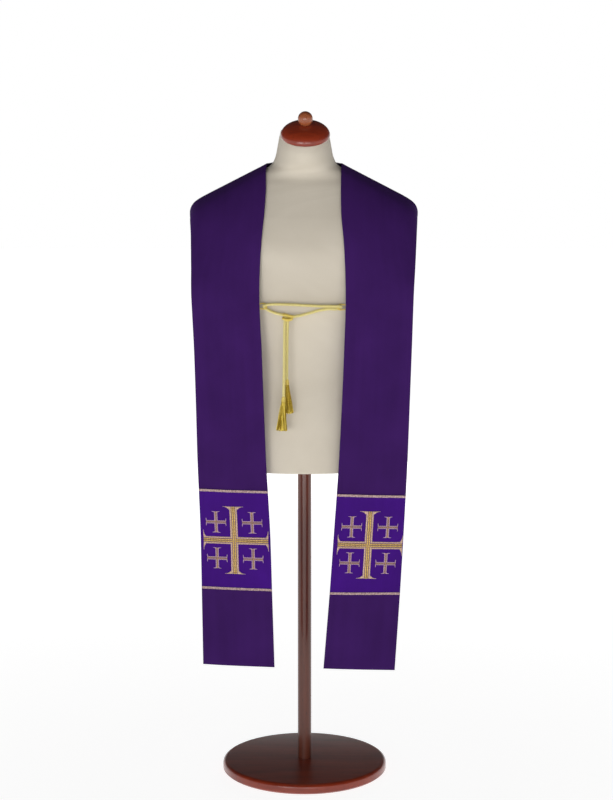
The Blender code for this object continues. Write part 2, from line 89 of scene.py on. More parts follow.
# From the chest to the hem: middle line and width of each front, its place along Y and bulge
Front = namedtuple("Front", "height mid_right mid_left width depth crown")
FRONT = [
    Front(1.1700, 0.1740, 0.1828, 0.1575, -0.1295, 0.0035),
    Front(1.0500, 0.1705, 0.1775, 0.1570, -0.1345, 0.0025),
    Front(0.9100, 0.1655, 0.1732, 0.1580, -0.1360, 0.0020),
    Front(0.7700, 0.1598, 0.1690, 0.1605, -0.1365, 0.0020),
    Front(0.6200, 0.1512, 0.1622, 0.1635, -0.1365, 0.0022),
    Front(0.4700, 0.1422, 0.1590, 0.1658, -0.1360, 0.0025),
    Front(0.2850, 0.1293, 0.1553, 0.1690, -0.1350, 0.0025),
]
HEM_RISE = {"right": -0.0040, "left": 0.0080}    # outer corner of the hem above the inner
HEM_LIFT = {"right": 0.0000, "left": 0.0090}     # the left front hangs a little shorter

# Heights of the braids' middles at the inner and the outer edge of each front
Braid = namedtuple("Braid", "name inner outer")
BRAIDS = {
    "right": [Braid("upper", 0.7045, 0.7008), Braid("lower", 0.4699, 0.4697)],
    "left": [Braid("upper", 0.7116, 0.7174), Braid("lower", 0.4778, 0.4849)],
}
ORPHREY_TUCK = 0.35          # share of a braid's width that covers the orphrey's edge

# Soft folds of the hanging cloth: share across at the top and the bottom of the fold,
# distance of its two ends below the shoulder ridge, half width, and height off the face
Fold = namedtuple("Fold", "share_top share_bottom start end half_width height")
FOLDS = {
    "right": [
        Fold(0.15, 0.20, 0.22, 0.56, 0.014, -0.0022),
        Fold(0.74, 0.80, 0.40, 0.66, 0.034, 0.0016),
        Fold(0.56, 0.46, 0.10, 0.36, 0.040, 0.0014),
        Fold(0.33, 0.30, 0.16, 0.52, 0.022, 0.0011),
        Fold(0.62, 0.70, 0.10, 0.44, 0.030, -0.0010),
        Fold(0.86, 0.84, 0.06, 0.36, 0.016, 0.0009),
        Fold(0.52, 0.46, 0.44, 0.86, 0.034, 0.0010),
        Fold(0.80, 0.86, 0.50, 0.80, 0.022, -0.0009),
        Fold(0.24, 0.18, 0.96, 1.24, 0.026, 0.0009),
        Fold(0.72, 0.78, 0.92, 1.24, 0.034, -0.0008),
        Fold(0.30, 0.42, -0.20, -0.03, 0.028, 0.0012),
        Fold(0.70, 0.62, -0.24, -0.05, 0.030, -0.0009),
    ],
    "left": [
        Fold(0.12, 0.10, 0.24, 0.50, 0.016, -0.0009),
        Fold(0.60, 0.48, 0.12, 0.42, 0.036, 0.0018),
        Fold(0.74, 0.66, 0.35, 0.47, 0.014, 0.0012),
        Fold(0.40, 0.52, 0.56, 0.84, 0.044, 0.0013),
        Fold(0.42, 0.36, 0.14, 0.48, 0.028, 0.0012),
        Fold(0.74, 0.66, 0.08, 0.34, 0.024, -0.0014),
        Fold(0.90, 0.92, 0.06, 0.30, 0.014, 0.0010),
        Fold(0.30, 0.34, 0.46, 0.84, 0.030, -0.0008),
        Fold(0.68, 0.60, 0.40, 0.82, 0.034, 0.0010),
        Fold(0.20, 0.26, 0.90, 1.22, 0.030, -0.0008),
        Fold(0.82, 0.76, 0.96, 1.22, 0.024, 0.0010),
        Fold(0.34, 0.46, -0.22, -0.04, 0.026, 0.0011),
        Fold(0.66, 0.60, -0.25, -0.06, 0.032, -0.0008),
    ],
}
FOLD_STRENGTH = 1.9
EDGE_RIDGE = 0.00035         # the turned edge's layers raise the face this much
EDGE_RIDGE_WIDTH = 0.0085

# ---------------- the cord, as in the CAD source

LOOP_WIRE = 0.0013           # radius of the loop's own thread
LOOP_HEIGHT = 0.0066         # half the loop's height, middle to middle
LOOP_REACH = 0.0165          # how far the loop stands out of the edge
LOOP_ROOT = 0.0040           # how far its root lies behind the panel
LOOP_ROOT_SHAPE = [(0.5, -0.85), (1.0, -0.55), (1.0, 0.55), (0.5, 0.85)]
LOOP_CENTRES = {"right": (0.0840, -0.1262, 1.1440), "left": (-0.0938, -0.1262, 1.1460)}

# The CAD's routes, each with points at its ends that run on into the loops or the knot
SPAN_ROUTE = [(-0.0940, -0.1240, 1.1468), (-0.0930, -0.1272, 1.1476), (-0.0905, -0.1330, 1.1492),
              (-0.0800, -0.1375, 1.1512), (-0.0600, -0.1395, 1.1517), (-0.0350, -0.1402, 1.1510),
              (-0.0090, -0.1405, 1.1498), (0.0160, -0.1405, 1.1484), (0.0400, -0.1400, 1.1474),
              (0.0620, -0.1388, 1.1470), (0.0760, -0.1362, 1.1466), (0.0830, -0.1315, 1.1458),
              (0.0845, -0.1272, 1.1452), (0.0846, -0.1242, 1.1444)]
LEFT_ROUTE = [(-0.0940, -0.1240, 1.1462), (-0.0932, -0.1218, 1.1442), (-0.0895, -0.1208, 1.1405),
              (-0.0810, -0.1235, 1.1355), (-0.0700, -0.1300, 1.1318), (-0.0620, -0.1345, 1.1295),
              (-0.0545, -0.1376, 1.1280), (-0.0490, -0.1392, 1.1268)]
RIGHT_ROUTE = [(0.0846, -0.1242, 1.1440), (0.0838, -0.1218, 1.1425), (0.0795, -0.1208, 1.1400),
               (0.0700, -0.1262, 1.1392), (0.0580, -0.1345, 1.1405), (0.0440, -0.1380, 1.1392),
               (0.0290, -0.1392, 1.1362), (0.0110, -0.1395, 1.1310), (-0.0060, -0.1395, 1.1265),
               (-0.0180, -0.1400, 1.1243), (-0.0260, -0.1415, 1.1228)]
TAIL_LEFT_ROUTE = [(-0.0430, -0.1390, 1.1245), (-0.0438, -0.1392, 1.1185), (-0.0450, -0.1404, 1.1118),
                   (-0.0460, -0.1425, 1.0900), (-0.0464, -0.1438, 1.0500), (-0.0470, -0.1448, 1.0000),
                   (-0.0478, -0.1456, 0.9620), (-0.0482, -0.1460, 0.9376)]
TAIL_RIGHT_ROUTE = [(-0.0372, -0.1392, 1.1165), (-0.0388, -0.1385, 1.1110), (-0.0394, -0.1372, 1.0900),
                    (-0.0400, -0.1362, 1.0600), (-0.0405, -0.1353, 1.0200), (-0.0408, -0.1347, 0.9766)]

# The knot: the right strand's wraps round the left one, about the knot's centre
KNOT_CENTRE = (-0.0390, -0.1390, 1.1215)
KNOT_WRAPS = [(0.0130, -0.0025, 0.0013), (0.0085, -0.0050, 0.0016), (0.0020, -0.0057, 0.0030),
              (-0.0050, -0.0052, 0.0046), (-0.0098, -0.0012, 0.0046), (-0.0088, 0.0040, 0.0030),
              (-0.0010, 0.0054, 0.0010), (0.0066, 0.0044, -0.0008), (0.0102, 0.0000, -0.0022),
              (0.0070, -0.0042, -0.0036), (0.0000, -0.0057, -0.0040), (-0.0066, -0.0048, -0.0026),
              (-0.0100, -0.0004, -0.0020), (-0.0070, 0.0044, -0.0034), (0.0000, 0.0040, -0.0052),
              (0.0016, 0.0008, -0.0070)]

Tassel = namedtuple("Tassel", "top spread lean")
TASSELS = {
    "left": Tassel((-0.0482, -0.1462, 0.9382), 0.0125, (0.062, -0.010)),
    "right": Tassel((-0.0408, -0.1344, 0.9772), 0.0100, (-0.062, 0.0)),
}
TASSEL_LENGTH = 0.082
TASSEL_FLATTENING = 0.72

# ---------------- the dress form, as in the CAD source

# Rings up the body: reach to each side, in front and behind, squareness, tilt in degrees
Ring = namedtuple("Ring", "z half_width front back square tilt")
FORM_RINGS = [
    Ring(0.7500, 0.1640, 0.112, 0.116, 2.3, 0),
    Ring(0.7560, 0.1690, 0.117, 0.121, 2.3, 0),
    Ring(0.8100, 0.1730, 0.119, 0.124, 2.3, 0),
    Ring(0.8900, 0.1700, 0.115, 0.117, 2.3, 0),
    Ring(0.9800, 0.1570, 0.106, 0.100, 2.3, 0),
    Ring(1.0700, 0.1640, 0.110, 0.102, 2.3, 0),
    Ring(1.1500, 0.1860, 0.119, 0.112, 2.4, 0),
    Ring(1.2200, 0.2090, 0.1215, 0.121, 2.5, 0),
    Ring(1.2700, 0.2290, 0.1190, 0.126, 2.6, 0),
    Ring(1.3100, 0.2430, 0.1095, 0.1250, 2.5, 0),
    Ring(1.3400, 0.2520, 0.0990, 0.1220, 2.35, 0),
    Ring(1.3600, 0.2505, 0.0905, 0.1180, 2.2, 0),
    Ring(1.3800, 0.2410, 0.0820, 0.1130, 2.1, 0),
    Ring(1.4000, 0.2155, 0.0730, 0.1060, 2.05, 0),
    Ring(1.4200, 0.1795, 0.0640, 0.0970, 2.0, 0),
    Ring(1.4400, 0.1405, 0.0555, 0.0860, 1.95, 2),
    Ring(1.4560, 0.1075, 0.0550, 0.0760, 1.95, 5),
    Ring(1.4700, 0.0800, 0.0595, 0.0650, 2.0, 9),
    Ring(1.4860, 0.0690, 0.0660, 0.0520, 2.0, 14),
    Ring(1.5050, 0.0640, 0.0705, 0.0420, 2.0, 20),
    Ring(1.5210, 0.0605, 0.0744, 0.0348, 2.0, 24),
    Ring(1.5365, 0.0560, 0.0739, 0.0259, 2.0, 27),
]

CAP_TILT = 27                # degrees forward, of the cap and the ball on it
CAP_CENTRE = (0.0020, -0.0240, 1.5365)
CAP_HEIGHT = 0.0318
BALL_RADIUS = 0.0175
STEM_RADIUS = 0.0122
STEM_LENGTH = 0.0004
POLE_RADIUS = 0.0165
BASE_RADIUS = 0.2000
BASE_HEIGHT = 0.0240


# ---------------- general helpers

def smooth(values, s):
    """Smooth values at station numbers s through a list of numbers or points."""
    values = np.asarray(values, float)
    s = np.asarray(s, float)
    last = len(values) - 1
    i = np.clip(np.floor(s).astype(int), 0, last - 1)
    ends = (2 * values[:1] - values[1:2], 2 * values[-1:] - values[-2:-1])
    padded = np.concatenate([ends[0], values, ends[1]])
    before, start, end, after = (padded[i + k] for k in range(4))
    t = s - i
    if values.ndim > 1:
        t = t[..., None]
    return 0.5 * (2 * start + (end - before) * t
                  + (2 * before - 5 * start + 4 * end - after) * t ** 2
                  + (3 * start - before - 3 * end + after) * t ** 3)


def unit(vectors):
    return vectors / np.maximum(np.linalg.norm(vectors, axis=-1, keepdims=True), 1e-12)


def lengths_along(points):
    """Distance of each point from the first, along the path."""
    steps = np.linalg.norm(np.diff(points, axis=0), axis=1)
    return np.concatenate([[0.0], np.cumsum(steps)])


FINE_STEPS = 40              # fine steps between two of a route's points, for measuring it


def evenly(points, spacing):
    """Points about spacing apart on the smooth curve through a route's own points."""
    fine = smooth(points, np.linspace(0, len(points) - 1, FINE_STEPS * len(points)))
    along = lengths_along(fine)
    count = max(3, round(along[-1] / spacing) + 1)
    at = np.linspace(0, along[-1], count)
    return np.stack([np.interp(at, along, fine[:, k]) for k in range(3)], axis=1)


def smooth_step(x):
    """From 0 to 1 with a soft start and end."""
    x = np.clip(x, 0, 1)
    return x * x * (3 - 2 * x)


class Shape:
    """Collects vertices, faces, UVs and material numbers of one mesh."""

    def __init__(self):
        self.points = []
        self.faces = []
        self.uvs = []
        self.slots = []
        self.count = 0

    def add(self, points, faces, uvs, slot=0):
        """points and uvs have a row for each vertex."""
        self.points.append(np.asarray(points, float))
        self.uvs.append(np.asarray(uvs, float))
        self.faces += [tuple(int(v) + self.count for v in face) for face in faces]
        self.slots += [slot] * len(faces)
        self.count += len(points)

    def piece(self, name, materials, slot_name, node=None):
        """The finished object, riding on the part's one body in place of a CAD node."""
        mesh = bpy.data.meshes.new(name)
        mesh.from_pydata(np.concatenate(self.points).tolist(), [], self.faces)
        uvs = np.concatenate(self.uvs)
        layer = mesh.uv_layers.new(name="metres")
        loop_vertices = np.zeros(len(mesh.loops), np.int32)
        mesh.loops.foreach_get("vertex_index", loop_vertices)
        layer.data.foreach_set("uv", uvs[loop_vertices].astype(np.float32).ravel())
        for entry in materials:
            mesh.materials.append(entry)
        mesh.polygons.foreach_set("material_index", self.slots)
        mesh.shade_smooth()
        mesh.update()
        obj = bpy.data.objects.new(name, mesh)
        bpy.context.scene.collection.objects.link(obj)
        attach(obj, "root")
        if node:
            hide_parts(node)
        return obj


def ring_faces(rings, sides, closed=False):
    """Quads of a tube, with a cap at each end unless it is closed on itself."""
    faces = []
    for i in range(rings if closed else rings - 1):
        here, there = i * sides, (i + 1) % rings * sides
        for k in range(sides):
            nxt = (k + 1) % sides
            faces.append((here + k, here + nxt, there + nxt, there + k))
    if not closed:
        faces.append(tuple(reversed(range(sides))))
        faces.append(tuple(range((rings - 1) * sides, rings * sides)))
    return faces


NO_PATH = (0.31, 0.87, 0.38)      # a direction in which no path sets out


def path_frames(points, closed=False):
    """Two directions across a path at each of its points, without twist."""
    if closed:
        tangents = unit(np.roll(points, -1, axis=0) - np.roll(points, 1, axis=0))
    else:
        tangents = unit(np.gradient(points, axis=0))
    across = [unit(np.cross(tangents[0], NO_PATH))]
    for tangent in tangents[1:]:
        across.append(unit(across[-1] - tangent * np.dot(across[-1], tangent)))
    across = np.array(across)
    return across, np.cross(tangents, across)


def add_tube(shape, points, radii, sides, slot=0, closed=False):
    """A round tube of the given radius at each point, with its UVs in metres."""
    points = np.asarray(points, float)
    radii = np.broadcast_to(radii, len(points))
    one, two = path_frames(points, closed)
    angles = TURN * np.arange(sides) / sides
    ring = (one[:, None] * np.cos(angles)[None, :, None]
            + two[:, None] * np.sin(angles)[None, :, None])
    vertices = points[:, None] + ring * radii[:, None, None]
    along = lengths_along(points)
    around = np.arange(sides) / sides
    uvs = np.stack(np.broadcast_arrays(around[None] * TURN * radii[:, None], along[:, None]), axis=-1)
    shape.add(vertices.reshape(-1, 3), ring_faces(len(points), sides, closed), uvs.reshape(-1, 2), slot)


# ---------------- material helpers

class Graph:
    """A material's nodes, with short ways to add and join them."""

    def __init__(self, name, **values):
        self.material = bpy.data.materials.new(name)
        self.material.use_nodes = True
        self.tree = self.material.node_tree
        self.shader = self.tree.nodes["Principled BSDF"]
        for key, value in values.items():
            self.shader.inputs[key.replace("_", " ")].default_value = value

    def node(self, kind, inputs=None, **settings):
        made = self.tree.nodes.new(kind)
        for key, value in settings.items():
            setattr(made, key, value)
        for key, value in (inputs or {}).items():
            self.put(value, made.inputs[key])
        return made

    def put(self, value, socket):
        if isinstance(value, bpy.types.NodeSocket):
            self.tree.links.new(value, socket)
        else:
            socket.default_value = value

    def math(self, operation, first, second=0.0, third=0.0):
        made = self.node("ShaderNodeMath", {0: first, 1: second, 2: third}, operation=operation)
        return made.outputs[0]

    def uv(self):
        """The two UV values, in metres."""
        split = self.node("ShaderNodeSeparateXYZ", {0: self.node("ShaderNodeTexCoord").outputs["UV"]})
        return split.outputs[0], split.outputs[1]

    def wave(self, value, pitch):
        """Sine from 0 to 1 of a length in metres."""
        angle = self.math("MULTIPLY", value, TURN / pitch)
        return self.math("MULTIPLY_ADD", self.math("SINE", angle), 0.5, 0.5)

    def noise(self, coordinates, scale, detail=2.0, stretch=(1.0, 1.0, 1.0), roughness=0.5):
        mapped = self.node("ShaderNodeMapping", {"Vector": coordinates, "Scale": stretch})
        made = self.node("ShaderNodeTexNoise", {
            "Vector": mapped.outputs[0], "Scale": scale, "Detail": detail, "Roughness": roughness})
        return made.outputs["Fac"]

    def ramp(self, factor, stops):
        """Colour ramp: stops are (position, colour)."""
        made = self.node("ShaderNodeValToRGB", {"Fac": factor})
        elements = made.color_ramp.elements
        while len(elements) < len(stops):
            elements.new(0.5)
        for element, (position, colour) in zip(elements, stops):
            element.position = position
            element.color = (*colour, 1.0)
        return made.outputs["Color"]

    def mix(self, factor, first, second):
        """Mix of two colours; Mix has sockets of one name for each kind of value."""
        made = self.node("ShaderNodeMix", {"Factor": factor}, data_type="RGBA")
        colours = [socket for socket in made.inputs if socket.type == "RGBA"]
        self.put(first, colours[0])
        self.put((*second, 1.0), colours[1])
        return [socket for socket in made.outputs if socket.type == "RGBA"][0]

    def bump(self, height, strength, distance):
        made = self.node("ShaderNodeBump", {"Height": height, "Strength": strength, "Distance": distance})
        self.put(made.outputs[0], self.shader.inputs["Normal"])

    def coordinates(self, kind):
        return self.node("ShaderNodeTexCoord").outputs[kind]


def cloth_material(name, dark, light, pitch, roughness, sheen, sheen_tint, specular, bump):
    """Plain-woven cloth: crossing threads, slubs, faint lengthwise unevenness, and painted shade.

    pitch is the length of two threads; the colour runs from dark to light with their shade.
    """
    g = Graph(name, Roughness=roughness, Sheen_Weight=sheen, Sheen_Roughness=0.45,
              Sheen_Tint=(*sheen_tint, 1.0), Specular_IOR_Level=specular)
    u, v = g.uv()
    uv = g.coordinates("UV")
    warp = g.wave(u, pitch)
    weft = g.wave(v, pitch)
    over = g.math("MULTIPLY", g.math("SUBTRACT", warp, 0.5), g.math("SUBTRACT", weft, 0.5))
    weave = g.math("MULTIPLY_ADD", over, 2.0, 0.5)
    slub = g.noise(uv, 700.0, 3.0, (1.0, 0.12, 1.0))
    length_streak = g.noise(uv, 60.0, 3.0, (1.0, 0.05, 1.0))
    cloud = g.noise(uv, 7.0, 3.0)
    height = g.math("MULTIPLY_ADD", slub, 0.45, weave)
    # Painted shade: the weave term darkens the low places between the crossing threads. The broad cloud
    # patches, about 14 cm across, are partly the cloth's own uneven tone and partly painted shade standing
    # in for soft folds.
    shade = g.math("MULTIPLY_ADD", length_streak, 0.20, g.math("MULTIPLY_ADD", cloud, 0.60, g.math(
        "MULTIPLY_ADD", weave, 0.12, g.math("MULTIPLY", slub, 0.08))))
    colour = g.ramp(shade, [(0.30, dark), (0.70, light)])
    g.put(colour, g.shader.inputs["Base Color"])
    g.bump(height, bump, pitch * 0.25)
    return g.material


def thread_material(name, deep, light, pitch, metallic, roughness, islands=0.0, glint_scale=900.0):
    """Metallised thread: fine turns of the foil round its core, glinting unevenly.

    pitch is one turn of the foil, islands how unlike the separate threads are in shade.
    """
    g = Graph(name, Metallic=metallic, Roughness=roughness, Specular_IOR_Level=0.4,
              Sheen_Weight=0.05, Sheen_Roughness=0.4, Sheen_Tint=(1.0, 0.92, 0.70, 1.0))
    u, v = g.uv()
    uv = g.coordinates("UV")
    lay = g.wave(g.math("MULTIPLY_ADD", u, 0.8, v), pitch)
    glint = g.noise(uv, glint_scale, 2.0)
    # Painted shade and painted glints: the lay term darkens the grooves between the foil's turns, and the
    # glint noise paints bright glints and dark flecks into the colour.
    shade = g.math("MULTIPLY_ADD", lay, 0.45, g.math("MULTIPLY_ADD", glint, 1.70, -0.56))
    if islands:
        each = g.node("ShaderNodeNewGeometry").outputs["Random Per Island"]
        shade = g.math("MULTIPLY_ADD", g.math("SUBTRACT", each, 0.5), islands, shade)
    colour = g.ramp(shade, [(0.12, deep), (0.85, light)])
    g.put(colour, g.shader.inputs["Base Color"])
    g.bump(lay, 0.5, pitch * 0.3)
    return g.material


def braid_material():
    """Plaited metallised thread: slanting strands that meet in a V, with scattered glints."""
    g = Graph("braid_gold_thread", Metallic=0.35, Roughness=0.40, Specular_IOR_Level=0.4)
    u, v = g.uv()
    uv = g.coordinates("UV")
    from_middle = g.math("ABSOLUTE", g.math("SUBTRACT", v, BRAID_WIDTH / 2))
    strand = g.wave(g.math("MULTIPLY_ADD", from_middle, PLAIT_SLANT, u), PLAIT_PITCH)
    glint = g.noise(uv, 260.0, 3.0)
    # Painted shade and painted glints: the strands are darker where they dip toward the lines between them,
    # and the glint noise paints bright and dark specks.
    shade = g.math("MULTIPLY_ADD", strand, 0.35, g.math("MULTIPLY_ADD", glint, 1.1, -0.20))
    colour = g.ramp(shade, [(0.22, (0.110, 0.050, 0.062)), (0.80, (0.640, 0.460, 0.430))])
    g.put(colour, g.shader.inputs["Base Color"])
    g.bump(strand, 0.6, 0.0003)
    return g.material


def jersey_material():
    """Fine cotton jersey: columns of V-shaped stitches."""
    g = Graph("form_jersey_knit", Roughness=0.88, Sheen_Weight=0.25, Sheen_Roughness=0.5,
              Sheen_Tint=(1.0, 0.97, 0.92, 1.0), Specular_IOR_Level=0.25)
    wale, course = 0.0013, 0.0011      # width and height of one stitch
    u, v = g.uv()
    uv = g.coordinates("UV")
    column = g.wave(u, wale)
    slant = g.math("MULTIPLY_ADD", column, course * 0.5, v)
    stitch = g.wave(slant, course)
    height = g.math("MULTIPLY", g.math("POWER", column, 0.5), g.math("MULTIPLY_ADD", stitch, 0.5, 0.5))
    cloud = g.noise(uv, 9.0, 3.0)
    fuzz = g.noise(uv, 450.0, 3.0)
    # Painted shade: the low places of the knit, between and along the stitches, are darker.
    shade = g.math("MULTIPLY_ADD", cloud, 0.5, g.math("MULTIPLY_ADD", fuzz, 0.25, g.math(
        "MULTIPLY", height, 0.25)))
    colour = g.ramp(shade, [(0.30, (0.580, 0.520, 0.425)), (0.72, (0.670, 0.610, 0.512))])
    g.put(colour, g.shader.inputs["Base Color"])
    g.bump(height, 0.35, 0.0003)
    return g.material


def wood_material(name, dark, light, stretch):
    """Mahogany: long grain and short dark pores under a clear semi-gloss varnish."""
    g = Graph(name, Roughness=0.42, Coat_Weight=0.80, Coat_Roughness=0.17, Coat_IOR=1.50,
              Specular_IOR_Level=0.25)
    place = g.coordinates("Object")
    grain = g.noise(place, 60.0, 5.0, stretch, 0.6)
    band = g.noise(place, 14.0, 2.0, stretch)
    pores = g.noise(place, 420.0, 2.0, stretch)
    pore = g.math("GREATER_THAN", pores, 0.66)
    shade = g.math("MULTIPLY_ADD", band, 0.6, g.math("MULTIPLY", grain, 0.45))
    colour = g.ramp(shade, [(0.32, dark), (0.72, light)])
    colour = g.mix(g.math("MULTIPLY", pore, 0.45), colour, tuple(c * 0.35 for c in dark))
    g.put(colour, g.shader.inputs["Base Color"])
    g.bump(g.math("MULTIPLY_ADD", pore, -0.5, grain), 0.12, 0.0004)
    return g.material


VIOLET = cloth_material(
    "violet_cloth_weave", dark=(0.0308, 0.0066, 0.0765), light=(0.0472, 0.0108, 0.1160), pitch=0.0006,
    roughness=0.90, sheen=0.03, sheen_tint=(0.60, 0.40, 0.95), specular=0.10, bump=0.35)
ORPHREY = cloth_material(
    "orphrey_cloth_weave", dark=(0.0375, 0.0032, 0.1380), light=(0.0560, 0.0052, 0.2220), pitch=0.0005,
    roughness=0.62, sheen=0.0, sheen_tint=(0.45, 0.30, 1.00), specular=0.06, bump=0.25)
CORD_GOLD = thread_material(
    "cord_gold_thread", deep=(0.500, 0.400, 0.080), light=(0.980, 0.880, 0.430), pitch=0.0009,
    metallic=0.30, roughness=0.40)
KNOT_GOLD = thread_material(
    "knot_gold_thread", deep=(0.480, 0.330, 0.020), light=(0.980, 0.800, 0.230), pitch=0.0009,
    metallic=0.40, roughness=0.36)
TASSEL_GOLD = thread_material(
    "tassel_gold_thread", deep=(0.340, 0.200, 0.002), light=(1.000, 0.800, 0.150), pitch=0.0009,
    metallic=0.60, roughness=0.30, islands=1.50)
BRAID_GOLD = braid_material()
STITCH_LIGHT = thread_material(
    "stitch_light_thread", deep=(0.260, 0.150, 0.110), light=(0.760, 0.540, 0.390), pitch=0.0006,
    metallic=0.45, roughness=0.42, glint_scale=380.0)
STITCH_ROSE = thread_material(
    "stitch_rose_thread", deep=(0.340, 0.185, 0.240), light=(0.780, 0.540, 0.600), pitch=0.0006,
    metallic=0.40, roughness=0.42, glint_scale=380.0)
STITCH_GOLD = thread_material(
    "stitch_gold_thread", deep=(0.140, 0.072, 0.014), light=(0.850, 0.580, 0.180), pitch=0.0006,
    metallic=0.65, roughness=0.36, glint_scale=380.0)
JERSEY = jersey_material()
MAHOGANY = wood_material(
    "mahogany_stand", dark=(0.060, 0.0110, 0.0045), light=(0.150, 0.0300, 0.0100), stretch=(1.0, 1.0, 0.08))
MAHOGANY_ROUND = wood_material(
    "mahogany_turned", dark=(0.160, 0.0135, 0.0038), light=(0.370, 0.0420, 0.0100), stretch=(0.12, 1.0, 1.0))
# Painted highlight: the ball's mahogany is paler and more orange than the cap's, standing in for the sheen
# on its lit side.
MAHOGANY_BALL = wood_material(
    "mahogany_ball", dark=(0.190, 0.0360, 0.0110), light=(0.500, 0.1500, 0.0550), stretch=(0.12, 1.0, 1.0))


# ---------------- the stole's surface

Half = namedtuple("Half", "side sign inner outer crown corner out along")


def edge_distances(row, side):
    return getattr(row, "inner_" + side), getattr(row, "outer_" + side)


def yoke_edge(side, angle):
    """Inner point, outer point, crown and corner share at an angle round the nape."""
    sign = SIGNS[side]
    first = SHOULDER[0]
    inner_x, outer_x = edge_distances(first, side)
    cos, sin = math.cos(angle), math.sin(angle)
    seam_x = SEAM_GAP / 2
    rise = sin * sin
    inner = (sign * max(seam_x, inner_x * cos), NAPE_DEPTH * sin,
             first.inner_z + (NAPE_HEIGHT - first.inner_z) * rise)
    outer = (sign * max(seam_x, outer_x * cos), BACK_DEPTH * sin,
             first.outer_z + (BACK_HEIGHT - first.outer_z) * rise)
    return (*inner, *outer, first.crown + (BACK_CROWN - first.crown) * rise, 1.0 - rise)


def station_rows(side):
    """Inner point, outer point, crown and corner share of each station, ridge to hem."""
    sign = SIGNS[side]
    stations = []
    for row in SHOULDER:
        inner_x, outer_x = edge_distances(row, side)
        stations.append((sign * inner_x, row.inner_y, row.inner_z,
                         sign * outer_x, row.outer_y, row.outer_z, row.crown, row.corner))
    for row in FRONT:
        middle = getattr(row, "mid_" + side)
        share = (FRONT[0].height - row.height) / (FRONT[0].height - FRONT[-1].height)
        height = row.height + HEM_LIFT[side] * share
        rise = HEM_RISE[side] * share / 2
        inner_x, outer_x = sign * (middle - row.width / 2), sign * (middle + row.width / 2)
        stations.append((inner_x, row.depth, height - rise,
                         outer_x, row.depth, height + rise, row.crown, 0.0))
    return stations


def make_half(side):
    """The rows of the CAD half, with the way each row bulges and its distance from the ridge."""
    sign = SIGNS[side]
    edges = []
    for k in range(YOKE_ROWS, 0, -1):
        edges.append(yoke_edge(side, math.pi / 2 * (1 - (1 - k / YOKE_ROWS) ** YOKE_CROWDING)))
    stations = station_rows(side)
    steps = ROWS_PER_STATION * (len(stations) - 1)
    edges += smooth(stations, np.arange(steps + 1) / ROWS_PER_STATION).tolist()
    edges = np.array(edges)
    inner, outer = edges[:, 0:3], edges[:, 3:6]
    both = inner + outer
    run = np.concatenate([both[1:], both[-1:]]) - np.concatenate([both[:1], both[:-1]])
    out = unit(np.cross(run, outer - inner)) * sign
    along = lengths_along(both / 2)
    return Half(side, sign, inner, outer, edges[:, 6], edges[:, 7], out, along - along[YOKE_ROWS])


def bulge(u, corner):
    """Share of the crown at a share u across: an even arch, or one that turns down at the end."""
    even = 4 * u * (1 - u)
    peak = (1 + CORNER_POWER) ** (-1 / CORNER_POWER)
    inside = np.clip(u, 0.0, None)
    cornered = inside * (1 - inside ** CORNER_POWER) / (peak * (1 - peak ** CORNER_POWER))
    return even + (cornered - even) * corner


def plain_point(half, u, row):
    """Points of the CAD half's face at shares u across and row numbers."""
    inner, outer = smooth(half.inner, row), smooth(half.outer, row)
    crown = smooth(half.crown, row) * bulge(u, smooth(half.corner, row))
    return inner + (outer - inner) * u[..., None] + unit(smooth(half.out, row)) * crown[..., None]


def width_at(half, row):
    return np.linalg.norm(smooth(half.outer, row) - smooth(half.inner, row), axis=-1)


def fold_height(half, u, row):
    """How far the soft folds and the turned edges lift the face."""
    along = smooth(half.along, row)
    width = width_at(half, row)
    height = np.zeros_like(u)
    for fold in FOLDS[half.side]:
        share = (along - fold.start) / (fold.end - fold.start)
        centre = fold.share_top + (fold.share_bottom - fold.share_top) * np.clip(share, 0, 1)
        window = np.where((share > 0) & (share < 1), np.sin(np.pi * np.clip(share, 0, 1)) ** 2, 0.0)
        away = (u - centre) * width / fold.half_width
        height += FOLD_STRENGTH * fold.height * window * np.exp(-away ** 2)
    from_edge = np.minimum(u, 1 - u) * width
    height += EDGE_RIDGE * (1 - smooth_step(from_edge / EDGE_RIDGE_WIDTH - 0.5))
    return height


SLOPE_SHARE = 0.004          # share of the width over which a slope is read
SLOPE_ROWS = 0.02            # rows over which it is read


def face_point(half, u, row, lift=0.0):
    """Points on the draped face at shares u and row numbers, and the way out of the cloth."""
    across = plain_point(half, u + SLOPE_SHARE, row) - plain_point(half, u - SLOPE_SHARE, row)
    down = plain_point(half, u, row + SLOPE_ROWS) - plain_point(half, u, row - SLOPE_ROWS)
    out = unit(np.cross(down, across)) * half.sign
    return plain_point(half, u, row) + out * (fold_height(half, u, row) + lift)[..., None], out


ROUNDING_ANGLES = (0, 25, 50, 72, 90)      # degrees round a cut edge


def rounding(wall):
    """Distances from a cut edge at which the rounded edge has its points."""
    return wall / 2 * (1 - np.cos(np.radians(ROUNDING_ANGLES)))


def inset_depth(distance_u, distance_v, wall):
    """How far a rounded edge falls back from the face."""
    radius = wall / 2
    near = np.maximum(1 - distance_u / radius, 1 - distance_v / radius)
    near = np.clip(near, 0, 1)
    return radius * (1 - np.sqrt(1 - near ** 2))


